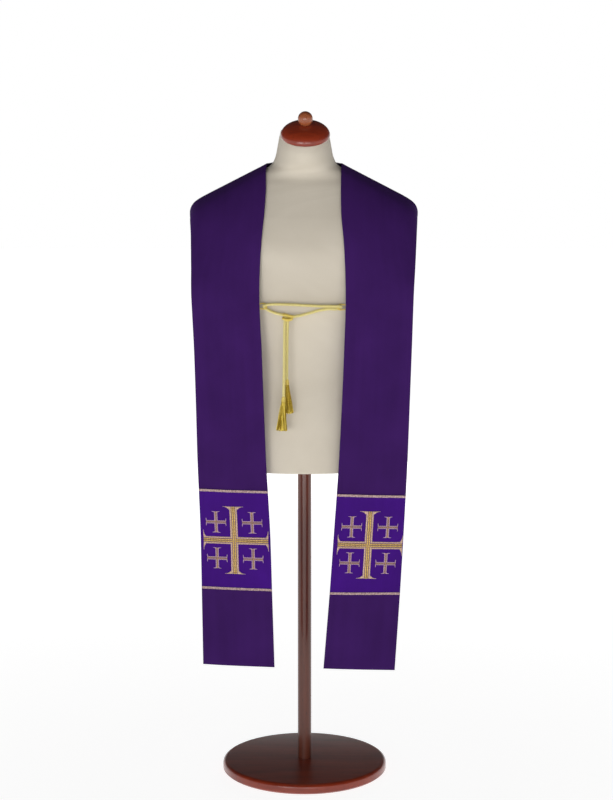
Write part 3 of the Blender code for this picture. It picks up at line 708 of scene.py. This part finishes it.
def add_cloth(shape, face, out, distance_u, distance_v, uvs, wall, sign):
    """A sheet of cloth with rounded edges: a face grid and a back grid that share their rim."""
    rows, columns = face.shape[:2]
    depth = inset_depth(distance_u, distance_v, wall)
    front = face - out * depth[..., None]
    back = face - out * (wall - depth)[..., None]
    index = np.arange(rows * columns).reshape(rows, columns)
    rim = np.zeros((rows, columns), bool)
    rim[[0, -1], :] = True
    rim[:, [0, -1]] = True
    back_index = index.copy()
    back_index[~rim] = rows * columns + np.arange((~rim).sum())
    points = np.concatenate([front.reshape(-1, 3), back[~rim]])
    all_uvs = np.concatenate([uvs.reshape(-1, 2), uvs[~rim]])
    faces = []
    for grid, flip in ((index, sign < 0), (back_index, sign > 0)):
        corners = [grid[:-1, :-1], grid[1:, :-1], grid[1:, 1:], grid[:-1, 1:]]
        if flip:
            corners.reverse()
        faces += np.stack(corners, axis=-1).reshape(-1, 4).tolist()
    shape.add(points, faces, all_uvs)


def spread_between(ends, count):
    """Values from 0 to 1: the rounded edges' own distances at both ends, even between them."""
    middle = np.linspace(ends[-1], 1 - ends[-1], count)
    return np.concatenate([ends[:-1], middle, 1 - ends[:-1][::-1]])


def row_at(half, along):
    """Row numbers at distances along the half's middle line."""
    return np.interp(along, half.along, np.arange(len(half.along)))


def front_rows(half):
    """Row numbers from the chest to the hem, close enough to look a height up in."""
    return np.linspace(YOKE_ROWS + ROWS_PER_STATION * len(SHOULDER), len(half.along) - 1, 2000)


CLOTH_COLUMNS = 44
CLOTH_SPACING = 0.0045


def build_half(half):
    """The face cloth of one half, with its folds and its rounded edges."""
    length = half.along[-1] - half.along[0]
    ends = rounding(CLOTH_WALL)
    rows = round(length / CLOTH_SPACING)
    down = half.along[0] + length * spread_between(ends / length, rows)
    row = row_at(half, down)
    width = width_at(half, row)
    u = np.stack([spread_between(ends / w, CLOTH_COLUMNS) for w in width])
    row_grid = np.broadcast_to(row[:, None], u.shape)
    face, out = face_point(half, u, row_grid)
    distance_u = np.minimum(u, 1 - u) * width[:, None]
    distance_v = np.broadcast_to(np.minimum(down - down[0], down[-1] - down)[:, None], u.shape)
    uvs = np.stack([u * width[:, None], np.broadcast_to(down[:, None], u.shape)], axis=-1)
    shape = Shape()
    add_cloth(shape, face, out, distance_u, distance_v, uvs, CLOTH_WALL, half.sign)
    return shape.piece("cloth_half_" + half.side, [VIOLET], "violet_cloth", "stole_half_" + half.side)


def trim_grid(half, tops, bottoms, count_u, spacing, wall):
    """Shares across and row numbers of a trim between two slanting lines on a front."""
    fine = front_rows(half)
    inner_z, outer_z = smooth(half.inner, fine)[:, 2], smooth(half.outer, fine)[:, 2]
    ends = rounding(wall)
    height = tops[0] - bottoms[0]
    v = spread_between(ends / height, max(2, round(height / spacing)))
    inner_height = tops[0] + (bottoms[0] - tops[0]) * v
    outer_height = tops[1] + (bottoms[1] - tops[1]) * v
    row_inner = np.interp(-inner_height, -inner_z, fine)
    row_outer = np.interp(-outer_height, -outer_z, fine)
    width = width_at(half, row_inner)
    shares = np.stack([spread_between(ends / (w - 2 * EDGE_INSET), count_u) for w in width])
    u = (EDGE_INSET + shares * (width - 2 * EDGE_INSET)[:, None]) / width[:, None]
    row = row_inner[:, None] + (row_outer - row_inner)[:, None] * u
    distance_u = np.minimum(shares, 1 - shares) * width[:, None]
    distance_v = np.broadcast_to((np.minimum(v, 1 - v) * height)[:, None], u.shape)
    uvs = np.stack([u * width[:, None], np.broadcast_to((v * height)[:, None], u.shape)], axis=-1)
    return u, row, distance_u, distance_v, uvs


ORPHREY_COLUMNS = 60
ORPHREY_SPACING = 0.003
PUCKER = 0.00014             # how far the stitching draws the panel in beside it
PUCKER_MARGIN = 0.02         # where it dies out toward the panel's edges


def build_orphrey(half):
    upper, lower = BRAIDS[half.side]
    reach = BRAID_WIDTH * ORPHREY_TUCK
    tops = (upper.inner + reach, upper.outer + reach)
    bottoms = (lower.inner - reach, lower.outer - reach)
    u, row, distance_u, distance_v, uvs = trim_grid(
        half, tops, bottoms, ORPHREY_COLUMNS, ORPHREY_SPACING, ORPHREY_WALL)
    face, out = face_point(half, u, row, REST_GAP + ORPHREY_WALL)
    x, y = uvs[..., 0], uvs[..., 1]
    # Uneven dimples, about 30 to 40 mm apart
    ripple = np.sin(x * 210 + 3 * np.sin(y * 55)) * np.sin(y * 160 + 2 * np.sin(x * 70))
    inside = smooth_step(np.minimum(distance_u, distance_v) / PUCKER_MARGIN)
    face = face + out * (PUCKER * ripple * inside)[..., None]
    shape = Shape()
    add_cloth(shape, face, out, distance_u, distance_v, uvs, ORPHREY_WALL, half.sign)
    return shape.piece("orphrey_" + half.side, [ORPHREY], "orphrey_cloth", "orphrey_panel_" + half.side)


BRAID_LENGTH = 0.16          # about; it only sets how fine the braid's mesh is
BRAID_COLUMNS = 9
BRAID_SPACING = 0.0004
PLAIT_HEIGHT = 0.00035
PLAIT_GROOVE = 0.0005        # width of the line in which the strands meet
PLAIT_RIM = 0.0006


def build_braid(half, braid):
    """A flat gold plait: two columns of slanting strands that meet in a V."""
    reach = BRAID_WIDTH / 2
    tops = (braid.inner + reach, braid.outer + reach)
    bottoms = (braid.inner - reach, braid.outer - reach)
    u, row, distance_u, distance_v, uvs = trim_grid(
        half, tops, bottoms, round(BRAID_LENGTH / BRAID_SPACING), BRAID_WIDTH / BRAID_COLUMNS, BRAID_WALL)
    lift = REST_GAP + ORPHREY_WALL + REST_GAP + BRAID_WALL
    face, out = face_point(half, u, row, lift)
    from_middle = np.abs(uvs[..., 1] - reach)
    strand = np.abs(np.sin(np.pi * (uvs[..., 0] + PLAIT_SLANT * from_middle) / PLAIT_PITCH))
    groove = 1 - np.exp(-(from_middle / PLAIT_GROOVE) ** 2)
    rim = smooth_step(np.minimum(distance_u, distance_v) / PLAIT_RIM)
    face = face + out * (PLAIT_HEIGHT * (strand * groove - 1) * rim)[..., None]
    shape = Shape()
    add_cloth(shape, face, out, distance_u, distance_v, uvs, BRAID_WALL - PLAIT_HEIGHT, half.sign)
    name = half.side + "_" + braid.name
    return shape.piece("braid_strip_" + name, [BRAID_GOLD], "gold_thread", "braid_" + name)


# ---------------- embroidery

STITCH_PITCH = 0.00085       # one satin stitch
STITCH_RAISE = 0.00075       # height of the padded band
STITCH_RIDGE = 0.00016       # height of one stitch over its neighbours' meeting line
STITCH_SIDES = 6             # faces across a band
STITCH_STEPS = 3             # faces along one stitch
STITCH_FULL_WIDTH = 0.0024   # a narrower band is raised less
STITCH_GAP = 0.0001          # between the orphrey and a band
BAR_SLANT = 0.35             # of the stitches, along for each step across
SERIF_SLANT = 0.25
SERIF_POINTS = 9
SERIF_CURVE = 2.2            # how fast a serif thins toward its tip
SERIF_OVERLAP = 0.0004
CROSSING_GAP = 0.0002
LIGHT, GOLD = 0, 1

# Stripes of a bar: distance of the stripe's middle from the bar's middle, width, thread
Stripe = namedtuple("Stripe", "offset width thread")
BIG_STRIPES = [Stripe(0.0068, 0.0038, LIGHT), Stripe(0.0022, 0.0036, GOLD)]
SMALL_STRIPES = [Stripe(0.0027, 0.0018, LIGHT), Stripe(0.0, 0.0017, GOLD)]

# A cross: reach of its arms toward -X, toward +X and up or down, half the width of its
# bars, reach of a serif from the bar's middle, and its depth at the bar and at its tip
Cross = namedtuple("Cross", "arm_minus arm_plus arm_up bar serif depth side_depth tip")
BIG_CROSS = Cross(0.0722, 0.0800, 0.0812, 0.0087, 0.0240, 0.0080, 0.0062, 0.0009)
SMALL_CROSS = Cross(0.0236, 0.0236, 0.0252, 0.0036, 0.0094, 0.0028, 0.0022, 0.0008)
SMALL_OFFSET = (0.0422, 0.0434)
SMALL_SHIFT = 0.0010          # the small crosses' middle stands this far toward +X

CROSS_CENTRES = {"right": (0.1494, 0.5858), "left": (-0.1643, 0.5970)}


def panel_point(half, centre, a, b, lift):
    """Points on a front at distances a across (toward +X) and b up from a cross's centre."""
    fine = front_rows(half)
    middle = (smooth(half.inner, fine) + smooth(half.outer, fine)) / 2
    row_centre = np.interp(-centre[1], -middle[:, 2], fine)
    along = np.interp(row_centre, np.arange(len(half.along)), half.along) - b
    row = row_at(half, along)
    width = width_at(half, row)
    middle_x = np.interp(row_centre, fine, middle[:, 0])
    shift = (centre[0] - middle_x) * half.sign
    u = 0.5 + (a * half.sign + shift) / width
    return face_point(half, u, row, lift)


def add_band(shape, half, centre, line, widths, thread, slant):
    """Satin stitch along a line of (across, up) points, as wide as widths says there."""
    line, widths = np.asarray(line, float), np.asarray(widths, float)
    at = lengths_along(line)
    stitches = max(2, round(at[-1] / STITCH_PITCH))
    s = np.linspace(0, at[-1], stitches * STITCH_STEPS + 1)
    a, b = np.interp(s, at, line[:, 0]), np.interp(s, at, line[:, 1])
    half_width = np.interp(s, at, widths) / 2
    way = unit(np.stack([np.gradient(a), np.gradient(b)], axis=1))
    side = np.stack([-way[:, 1], way[:, 0]], axis=1)
    c = np.cos(np.linspace(0, np.pi, STITCH_SIDES + 1))
    across = c[None] * half_width[:, None]
    grid_a = a[:, None] + side[:, :1] * across
    grid_b = b[:, None] + side[:, 1:] * across
    arch = np.sqrt(np.clip(1 - c ** 2, 0, 1))
    raised = STITCH_RAISE * np.minimum(1, 2 * half_width / STITCH_FULL_WIDTH)[:, None] * arch[None]
    phase = (s[:, None] + slant * across) * stitches / at[-1]
    ridge = STITCH_RIDGE * np.abs(np.sin(np.pi * phase)) * arch[None]
    lift = REST_GAP + ORPHREY_WALL + STITCH_GAP + raised + ridge
    points, _ = panel_point(half, centre, grid_a, grid_b, lift)
    faces = ring_faces(len(s), STITCH_SIDES + 1)
    if half.sign > 0:
        faces = [tuple(reversed(face)) for face in faces]
    uvs = np.stack(np.broadcast_arrays(s[:, None], across), axis=-1)
    shape.add(points.reshape(-1, 3), faces, uvs.reshape(-1, 2), thread)


def add_arm(shape, half, place, cross, stripes, way, over):
    """One arm: its stripes and the two wings of its serif. way is (across, up)."""
    centre, shift = place
    reach, depth_at_bar = cross.arm_up, cross.depth
    if way[0]:
        reach = cross.arm_plus if way[0] > 0 else cross.arm_minus
        depth_at_bar = cross.side_depth
    way = np.array(way, float)
    side = np.array([-way[1], way[0]])
    home = np.array(shift)
    middle = max(stripe.offset + stripe.width / 2 for stripe in stripes if stripe.thread == GOLD)
    for stripe in stripes:
        start = cross.bar if stripe.thread == LIGHT else middle + CROSSING_GAP
        if over:
            start = start - stripe.width if stripe.thread == LIGHT else 0.0
        for sign in (1, -1) if stripe.offset else (1,):
            line = [home + way * start + side * stripe.offset * sign,
                    home + way * (reach - cross.tip / 2) + side * stripe.offset * sign]
            add_band(shape, half, centre, line, [stripe.width] * 2, stripe.thread, BAR_SLANT * sign)
    root = cross.bar - SERIF_OVERLAP
    for sign in (1, -1):
        share = np.linspace(0, 1, SERIF_POINTS)
        depth = cross.tip + (depth_at_bar - cross.tip) * (1 - share) ** SERIF_CURVE
        out = root + (cross.serif - root) * share
        line = home + side * (sign * out)[:, None] + way * (reach - depth / 2)[:, None]
        add_band(shape, half, centre, line, depth, LIGHT, SERIF_SLANT * sign)


def add_cross(shape, half, centre, shift, cross, stripes):
    """A cross whose upright runs on through the crossing and whose side arms stop at it."""
    for over, ways in ((True, ((0, 1), (0, -1))), (False, ((1, 0), (-1, 0)))):
        for way in ways:
            add_arm(shape, half, (centre, shift), cross, stripes, way, over)


def build_crosses(half):
    """The large cross, and the four small ones as a piece of their own."""
    centre = CROSS_CENTRES[half.side]
    large, small = Shape(), Shape()
    add_cross(large, half, centre, (0.0, 0.0), BIG_CROSS, BIG_STRIPES)
    for across in (-1, 1):
        for up in (-1, 1):
            shift = (SMALL_SHIFT + SMALL_OFFSET[0] * across, SMALL_OFFSET[1] * up)
            add_cross(small, half, centre, shift, SMALL_CROSS, SMALL_STRIPES)
    return [large.piece("cross_large_" + half.side, [STITCH_LIGHT, STITCH_GOLD], "gold_thread"),
            small.piece("crosses_small_" + half.side, [STITCH_ROSE, STITCH_GOLD], "gold_thread")]


# ---------------- cord, knot, loops, tassels

ROPE_STRANDS = 3
ROPE_RADIUS = 0.0037         # with the loft of the loose outer yarns
ROPE_STRAND_SHARE = 0.50     # a strand's radius as a share of the rope's
ROPE_LAY = 0.0140            # length of one turn of the strands
ROPE_SPACING = 0.0009
ROPE_SIDES = 8
KNOT_SPREAD = 1.35           # the knot's wraps stand this much further apart in height
KNOT_SPACING = 0.00072
LOOP_LOFT = 1.35             # worked over with thread, a loop is thicker than its core
LOOP_LAY = 0.0050
LOOP_PLIES = 2
LOOP_ARC_STEPS = 10
LOOP_POINTS = 90


def add_rope(shape, points, radius, lay=ROPE_LAY, strands=ROPE_STRANDS, closed=False):
    """Twisted strands round a path."""
    one, two = path_frames(points, closed)
    along = lengths_along(points)
    total = along[-1]
    if closed:
        total += np.linalg.norm(points[0] - points[-1])
        lay = total / max(1, round(total / lay))
    strand_radius = radius * ROPE_STRAND_SHARE
    offset = radius - strand_radius
    for k in range(strands):
        angle = TURN * (along / lay + k / strands)
        centre = points + offset * (one * np.cos(angle)[:, None] + two * np.sin(angle)[:, None])
        add_tube(shape, centre, strand_radius, ROPE_SIDES, closed=closed)


def build_cord(name, route, node):
    """One stretch of the cord, and the path that it follows."""
    points = evenly(route, ROPE_SPACING)
    shape = Shape()
    add_rope(shape, points, ROPE_RADIUS)
    return shape.piece(name, [CORD_GOLD], "gold_thread", node), points


def build_knot():
    """The overhand knot: the cord's own wraps round the knot's centre."""
    shape = Shape()
    wraps = np.array(KNOT_WRAPS) * (1.0, 1.0, KNOT_SPREAD) + np.array(KNOT_CENTRE)
    add_rope(shape, evenly(wraps, KNOT_SPACING), ROPE_RADIUS)
    return shape.piece("knot_of_cord", [KNOT_GOLD], "gold_thread", "cord_knot")


def build_loop(side):
    """A worked thread loop: two plies along the CAD loop's line."""
    toward_edge = SIGNS[side]
    centre = np.array(LOOP_CENTRES[side])
    root = LOOP_REACH + LOOP_ROOT - LOOP_HEIGHT
    points = []
    for k in range(LOOP_ARC_STEPS + 1):
        angle = math.pi / 2 + math.pi * k / LOOP_ARC_STEPS
        points.append((toward_edge * LOOP_HEIGHT * math.cos(angle), 0.0, LOOP_HEIGHT * math.sin(angle)))
    for share, height in LOOP_ROOT_SHAPE:
        points.append((toward_edge * root * share, 0.0, LOOP_HEIGHT * height))
    ring = centre + np.array(points)
    wrapped = np.concatenate([ring[-2:], ring, ring[:3]])
    fine = smooth(wrapped, np.linspace(2, 2 + len(ring), LOOP_POINTS, endpoint=False))
    shape = Shape()
    add_rope(shape, fine, LOOP_WIRE * LOOP_LOFT, LOOP_LAY, LOOP_PLIES, closed=True)
    shape.piece("thread_loop_" + side, [KNOT_GOLD], "gold_thread", "cord_loop_" + side)


# The bound head: (radius, depth below the top)
HEAD_PROFILE = [(0.0, 0.0), (0.0022, 0.0002), (0.0036, 0.0010), (0.0044, 0.0026), (0.0047, 0.0048),
                (0.0044, 0.0075), (0.0038, 0.0092), (0.0036, 0.0110), (0.0040, 0.0125), (0.0, 0.0140)]
HEAD_AXIS = 0.0003           # radius at the two poles, where the faces meet
HEAD_RINGS = 40
HEAD_SIDES = 20
BINDING_RADII = [0.0044, 0.0047, 0.0047, 0.0047, 0.0044]
BINDING_DEPTH = 0.0080
BINDING_PITCH = 0.00115
BINDING_WIRE = 0.00065
BINDING_STEPS = 28
STRAND_RADIUS = 0.00072
STRAND_POINTS = 12
STRAND_SIDES = 5
SKIRT_RADIUS = 0.0036        # where the threads come out under the binding
SKIRT_DEPTH = 0.0115
SKIRT_UNEVEN = 0.0045        # how unlike the threads are in length
THREAD_BULGE = 0.0009
THREAD_SWAY = 0.0010
TASSEL_RINGS = [(52, 1.00), (40, 0.74), (24, 0.42)]      # strands in each ring, share of the spread


def build_tassel(side, rng):
    """A bound head over a skirt of loose threads, flattened front to back."""
    tassel = TASSELS[side]
    shape = Shape()
    line = [(0.0, 0.0, -depth) for _, depth in HEAD_PROFILE]
    radii = [max(radius, HEAD_AXIS) for radius, _ in HEAD_PROFILE]
    fine_s = np.linspace(0, len(line) - 1, HEAD_RINGS)
    add_tube(shape, smooth(line, fine_s), np.clip(smooth(radii, fine_s), HEAD_AXIS, None), HEAD_SIDES)
    angle = np.linspace(0, TURN, BINDING_STEPS, endpoint=False)
    for turn, radius in enumerate(BINDING_RADII):
        depth = np.full(BINDING_STEPS, BINDING_DEPTH + BINDING_PITCH * turn)
        ring = np.stack([radius * np.cos(angle), radius * np.sin(angle), -depth], axis=1)
        add_tube(shape, ring, BINDING_WIRE, 6, closed=True)
    t = np.linspace(0, 1, STRAND_POINTS)
    for count, share in TASSEL_RINGS:
        for k in range(count):
            angle = TURN * (k + 0.6 * rng.random()) / count
            start = SKIRT_RADIUS * share
            # Each thread has a length, bulge, sway and turn of its own
            end = tassel.spread * share * (0.90 + 0.12 * rng.random())
            length = TASSEL_LENGTH - SKIRT_UNEVEN * rng.random() - 0.0012 * share
            radius = start + (end - start) * (0.70 * t + 0.30 * t ** 2.2)
            radius = radius + THREAD_BULGE * np.sin(np.pi * t) * rng.normal()
            sway = THREAD_SWAY * np.sin(np.pi * t * (1 + rng.random()) + 6 * rng.random()) * t
            turn_angle = angle + 0.25 * (rng.random() - 0.5) * t
            depth = SKIRT_DEPTH + (length - SKIRT_DEPTH) * t
            x, y = radius * np.cos(turn_angle) + sway, radius * np.sin(turn_angle)
            thickness = STRAND_RADIUS * (0.85 + 0.3 * rng.random())
            add_tube(shape, np.stack([x, y, -depth], axis=1), thickness, STRAND_SIDES, slot=1)
    flat = Matrix.Diagonal((1.0, TASSEL_FLATTENING, 1.0)).to_3x3()
    turn_y = Matrix.Rotation(tassel.lean[0], 3, "Y")
    turn_x = Matrix.Rotation(tassel.lean[1], 3, "X")
    matrix = np.array(turn_y @ turn_x @ flat)
    shape.points = [points @ matrix.T + np.array(tassel.top) for points in shape.points]
    return shape.piece("thread_tassel_" + side, [KNOT_GOLD, TASSEL_GOLD], "gold_thread", "tassel_" + side)


Stretch = namedtuple("Stretch", "name node route length far_end on_it")


def build_fastening():
    """Loops, tassels and knot, then the cord's five stretches."""
    rng = np.random.default_rng(7)
    for side in SIGNS:
        build_loop(side)
    tassels = {side: build_tassel(side, rng) for side in SIGNS}
    knot = build_knot()
    stretches = [
        Stretch("cord_span", "fastening_cord_span", SPAN_ROUTE, 0.190, "object", []),
        Stretch("cord_left", "fastening_cord_left", LEFT_ROUTE, 0.060, "knot", [knot]),
        Stretch("cord_right", "fastening_cord_right", RIGHT_ROUTE, 0.125, "knot", []),
        Stretch("tail_left", "cord_tail_left", TAIL_LEFT_ROUTE, 0.187, "fitting", [tassels["left"]]),
        Stretch("tail_right", "cord_tail_right", TAIL_RIGHT_ROUTE, 0.140, "fitting", [tassels["right"]]),
    ]
    for stretch in stretches:
        cord, path = build_cord(stretch.name, stretch.route, stretch.node)


# ---------------- dress form and stand

FORM_SIDES = 160
FORM_ROWS = 260
FORM_FINE = 4000             # steps in which a height is looked up
FORM_HEM = (0.0010, 0.0022, 0.0045)      # rows that round the lower edge, above it
FORM_SEAMS = (0.0, 0.25, 0.5)            # shares of the way round: +X, back, -X
SEAM_DEPTH = 0.0007
SEAM_WIDTH = 0.0022


def build_form():
    """The jersey-covered body, with a seam down each side and down the middle of the back."""
    rings = np.array([tuple(ring) for ring in FORM_RINGS])
    station = np.linspace(0, len(rings) - 1, FORM_FINE)
    heights = smooth(rings[:, 0], station)
    targets = np.linspace(heights[0], heights[-1], FORM_ROWS)
    targets[1:1 + len(FORM_HEM)] = heights[0] + np.array(FORM_HEM)
    s = np.interp(targets, heights, station)
    z, half_width, front, back, square, tilt = (smooth(rings[:, k], s) for k in range(6))
    angle = TURN * np.arange(FORM_SIDES) / FORM_SIDES
    cos, sin = np.cos(angle)[None], np.sin(angle)[None]
    power = 2 / square[:, None]
    x = half_width[:, None] * np.sign(cos) * np.abs(cos) ** power
    reach = np.where(sin > 0, back[:, None], front[:, None])
    y = reach * np.sign(sin) * np.abs(sin) ** power
    middle = ((back - front) / 2)[:, None]
    height = z[:, None] + np.tan(np.radians(tilt))[:, None] * (y - middle)
    points = np.stack([x, y, height], axis=-1)
    centre = points.mean(axis=1, keepdims=True)
    steps = np.linalg.norm(np.diff(points, axis=1), axis=2)
    around = np.concatenate([np.zeros((FORM_ROWS, 1)), np.cumsum(steps, axis=1)], axis=1)
    total = around[:, -1:] + np.linalg.norm(points[:, :1] - points[:, -1:], axis=2)
    for seam in FORM_SEAMS:
        gap = np.abs(around - seam * total)
        gap = np.minimum(gap, total - gap)
        groove = SEAM_DEPTH * np.exp(-(gap / SEAM_WIDTH) ** 2)
        points = points + unit(centre - points) * groove[..., None]
    shape = Shape()
    uvs = np.stack([around, np.broadcast_to(targets[:, None], around.shape)], axis=-1)
    shape.add(points.reshape(-1, 3), ring_faces(FORM_ROWS, FORM_SIDES), uvs.reshape(-1, 2))
    shape.piece("jersey_form", [JERSEY], "form_jersey", "form_torso")


AXIS_RADIUS = 0.00005        # radius at the axis, where the faces meet
SHARP_ANGLE = 40             # degrees
CAP_SPREAD = 4               # rings for each of the cap profile's points
CAP_STEPS = 96
CAP_PROFILE = [(0.0, 0.0318), (0.0090, 0.0315), (0.0180, 0.0306), (0.0265, 0.0292), (0.0340, 0.0272),
               (0.0405, 0.0248), (0.0460, 0.0219), (0.0505, 0.0185), (0.0540, 0.0147), (0.0566, 0.0106),
               (0.0579, 0.0067), (0.0580, 0.0040), (0.0572, 0.0018), (0.0550, 0.0003), (0.0520, 0.0003)]
BALL_RINGS = 32
BALL_STEPS = 64
POLE_STEPS = 64
POLE_FOOT = 0.0120           # height of the ring above the pole's foot
BASE_STEPS = 128
BASE_EDGE = 0.0090           # radius of the rounded upper edge
BASE_EDGE_STEPS = 8
BASE_FOOT_CHAMFER = 0.0040


def build_turned(name, node, profile, steps, material, place=(0, 0, 0), tilt=0.0):
    """A turned piece; profile is (radius, height) from its top down its outer side."""
    shape = Shape()
    profile = np.array(profile, float)[::-1]
    radius, height = np.maximum(profile[:, :1], AXIS_RADIUS), profile[:, 1:]
    angle = TURN * np.arange(steps) / steps
    height = np.broadcast_to(height, (len(profile), steps))
    points = np.stack([radius * np.cos(angle), radius * np.sin(angle), height], axis=-1)
    uvs = np.stack([radius * angle, height], axis=-1)
    turn = np.array(Matrix.Rotation(math.radians(tilt), 3, "X"))
    points = points.reshape(-1, 3) @ turn.T + np.array(place)
    shape.add(points, ring_faces(len(profile), steps), uvs.reshape(-1, 2))
    obj = shape.piece(name, [material], "mahogany", node)
    obj.data.set_sharp_from_angle(angle=math.radians(SHARP_ANGLE))


def arc(radius, first, last, steps, centre):
    """(radius, height) points round an arc; its angles are from straight up."""
    points = []
    for k in range(steps + 1):
        angle = first + (last - first) * k / steps
        points.append((centre[0] + radius * math.sin(angle), centre[1] + radius * math.cos(angle)))
    return points


def build_wood():
    """Neck cap, its ball, the pole and the base."""
    last = len(CAP_PROFILE) - 1
    cap = smooth(CAP_PROFILE, np.linspace(0, last, CAP_SPREAD * last + 1))
    build_turned("turned_neck_cap", "neck_cap", cap, CAP_STEPS, MAHOGANY_ROUND, CAP_CENTRE, CAP_TILT)
    span = math.pi - math.asin(STEM_RADIUS / BALL_RADIUS)
    middle = STEM_LENGTH - BALL_RADIUS * math.cos(span)
    ball = arc(BALL_RADIUS, 0.0, span, BALL_RINGS, (0.0, middle)) + [(STEM_RADIUS, 0.0), (0.0, 0.0)]
    tilt = math.radians(CAP_TILT)
    seat = CAP_HEIGHT + REST_GAP
    place = (CAP_CENTRE[0], CAP_CENTRE[1] - math.sin(tilt) * seat, CAP_CENTRE[2] + math.cos(tilt) * seat)
    build_turned("turned_finial", "neck_finial", ball, BALL_STEPS, MAHOGANY_BALL, place, CAP_TILT)
    pole_top, pole_foot = FORM_RINGS[0].z - REST_GAP, BASE_HEIGHT + REST_GAP
    pole = [(0.0, pole_top), (POLE_RADIUS, pole_top), (POLE_RADIUS, pole_foot + POLE_FOOT),
            (POLE_RADIUS, pole_foot), (0.0, pole_foot)]
    build_turned("turned_pole", "stand_pole", pole, POLE_STEPS, MAHOGANY)
    edge_centre = (BASE_RADIUS - BASE_EDGE, BASE_HEIGHT - BASE_EDGE)
    base = [(0.0, BASE_HEIGHT)] + arc(BASE_EDGE, 0.0, math.pi / 2, BASE_EDGE_STEPS, edge_centre)
    base += [(BASE_RADIUS, BASE_FOOT_CHAMFER), (BASE_RADIUS - BASE_FOOT_CHAMFER, 0.0), (0.0, 0.0)]
    build_turned("turned_base", "stand_base", base, BASE_STEPS, MAHOGANY_ROUND)


# ---------------- stage and light

FLOOR_REACH = 30.0
FLOOR_GREY = 0.40
GLOW_NEAR, GLOW_FAR = 0.5, 4.0           # distances from the stand
GLOW_AT_NEAR, GLOW_AT_FAR = 0.90, 1.04   # the paper's glow at those distances

SKY_WHITE_BELOW = 0.11       # heights on the sky, as sines of the angle above the horizon
SKY_GREY_ABOVE = 0.26
SKY_GREY = 0.035

# Studio lights: size in metres, power in watts, spread in degrees
Light = namedtuple("Light", "name place target size power spread glossy")
LIGHTS = [
    Light("key", (-1.7, -4.3, 0.60), (0.0, 0.0, 0.76), 2.4, 5.6, 44, True),
    Light("fill", (0.7, -4.6, 0.55), (0.0, 0.0, 0.76), 2.4, 3.6, 44, True),
    Light("back", (0.6, 4.6, 1.10), (0.0, 0.0, 0.95), 2.4, 40.0, 180, False),
]


def build_stage():
    """A floor of white paper that glows a little more with the distance."""
    mesh = bpy.data.meshes.new("floor")
    corners = [(FLOOR_REACH * x, FLOOR_REACH * y, 0) for x, y in ((-1, -1), (1, -1), (1, 1), (-1, 1))]
    mesh.from_pydata(corners, [], [(0, 1, 2, 3)])
    floor = bpy.data.objects.new("floor", mesh)
    bpy.context.scene.collection.objects.link(floor)
    g = Graph("floor_paper", Base_Color=(FLOOR_GREY, FLOOR_GREY, FLOOR_GREY, 1.0), Roughness=0.9,
              Specular_IOR_Level=0.05, Emission_Color=(1.0, 1.0, 1.0, 1.0))
    far = g.node("ShaderNodeVectorMath", {0: g.coordinates("Object")}, operation="LENGTH")
    glow = g.node("ShaderNodeMapRange", {
        "Value": far.outputs["Value"], "From Min": GLOW_NEAR, "From Max": GLOW_FAR,
        "To Min": GLOW_AT_NEAR, "To Max": GLOW_AT_FAR})
    g.put(glow.outputs[0], g.shader.inputs["Emission Strength"])
    mesh.materials.append(g.material)


def build_world():
    """A white horizon under a darker sky, so that the shoulders are lit less than the fronts."""
    world = bpy.data.worlds.new("studio")
    world.use_nodes = True
    bpy.context.scene.world = world
    tree = world.node_tree
    place = tree.nodes.new("ShaderNodeTexCoord")
    split = tree.nodes.new("ShaderNodeSeparateXYZ")
    ramp = tree.nodes.new("ShaderNodeValToRGB")
    tree.links.new(place.outputs["Generated"], split.inputs[0])
    tree.links.new(split.outputs[2], ramp.inputs[0])
    tree.links.new(ramp.outputs[0], tree.nodes["Background"].inputs["Color"])
    white, grey = ramp.color_ramp.elements
    white.position, white.color = SKY_WHITE_BELOW, (1.0, 1.0, 1.0, 1.0)
    grey.position, grey.color = SKY_GREY_ABOVE, (SKY_GREY, SKY_GREY, SKY_GREY, 1.0)


def build_light():
    for light in LIGHTS:
        data = bpy.data.lights.new(light.name, "AREA")
        data.shape = "DISK"
        data.size = light.size
        data.energy = light.power
        data.spread = math.radians(light.spread)
        obj = bpy.data.objects.new(light.name, data)
        obj.visible_camera = False
        obj.visible_glossy = light.glossy
        obj.location = light.place
        way = Vector(light.target) - Vector(light.place)
        obj.rotation_euler = way.to_track_quat("-Z", "Y").to_euler()
        bpy.context.scene.collection.objects.link(obj)


def build_camera():
    data = bpy.data.cameras.new("camera")
    data.lens = CAMERA_LENS
    camera = bpy.data.objects.new("camera", data)
    camera.location = CAMERA_PLACE
    camera.rotation_euler = (math.radians(90 - CAMERA_PITCH), 0.0, 0.0)
    bpy.context.scene.collection.objects.link(camera)
    bpy.context.scene.camera = camera


def build_stole():
    """Halves, orphreys, braids and embroidery."""
    for side in SIGNS:
        half = make_half(side)
        cloth = build_half(half)
        orphrey = build_orphrey(half)
        trims = [build_braid(half, braid) for braid in BRAIDS[side]]
        trims += build_crosses(half)


build_camera()
build_fastening()
build_form()
build_wood()
build_stole()
build_stage()
build_world()
build_light()
bpy.context.scene.view_settings.view_transform = "Standard"
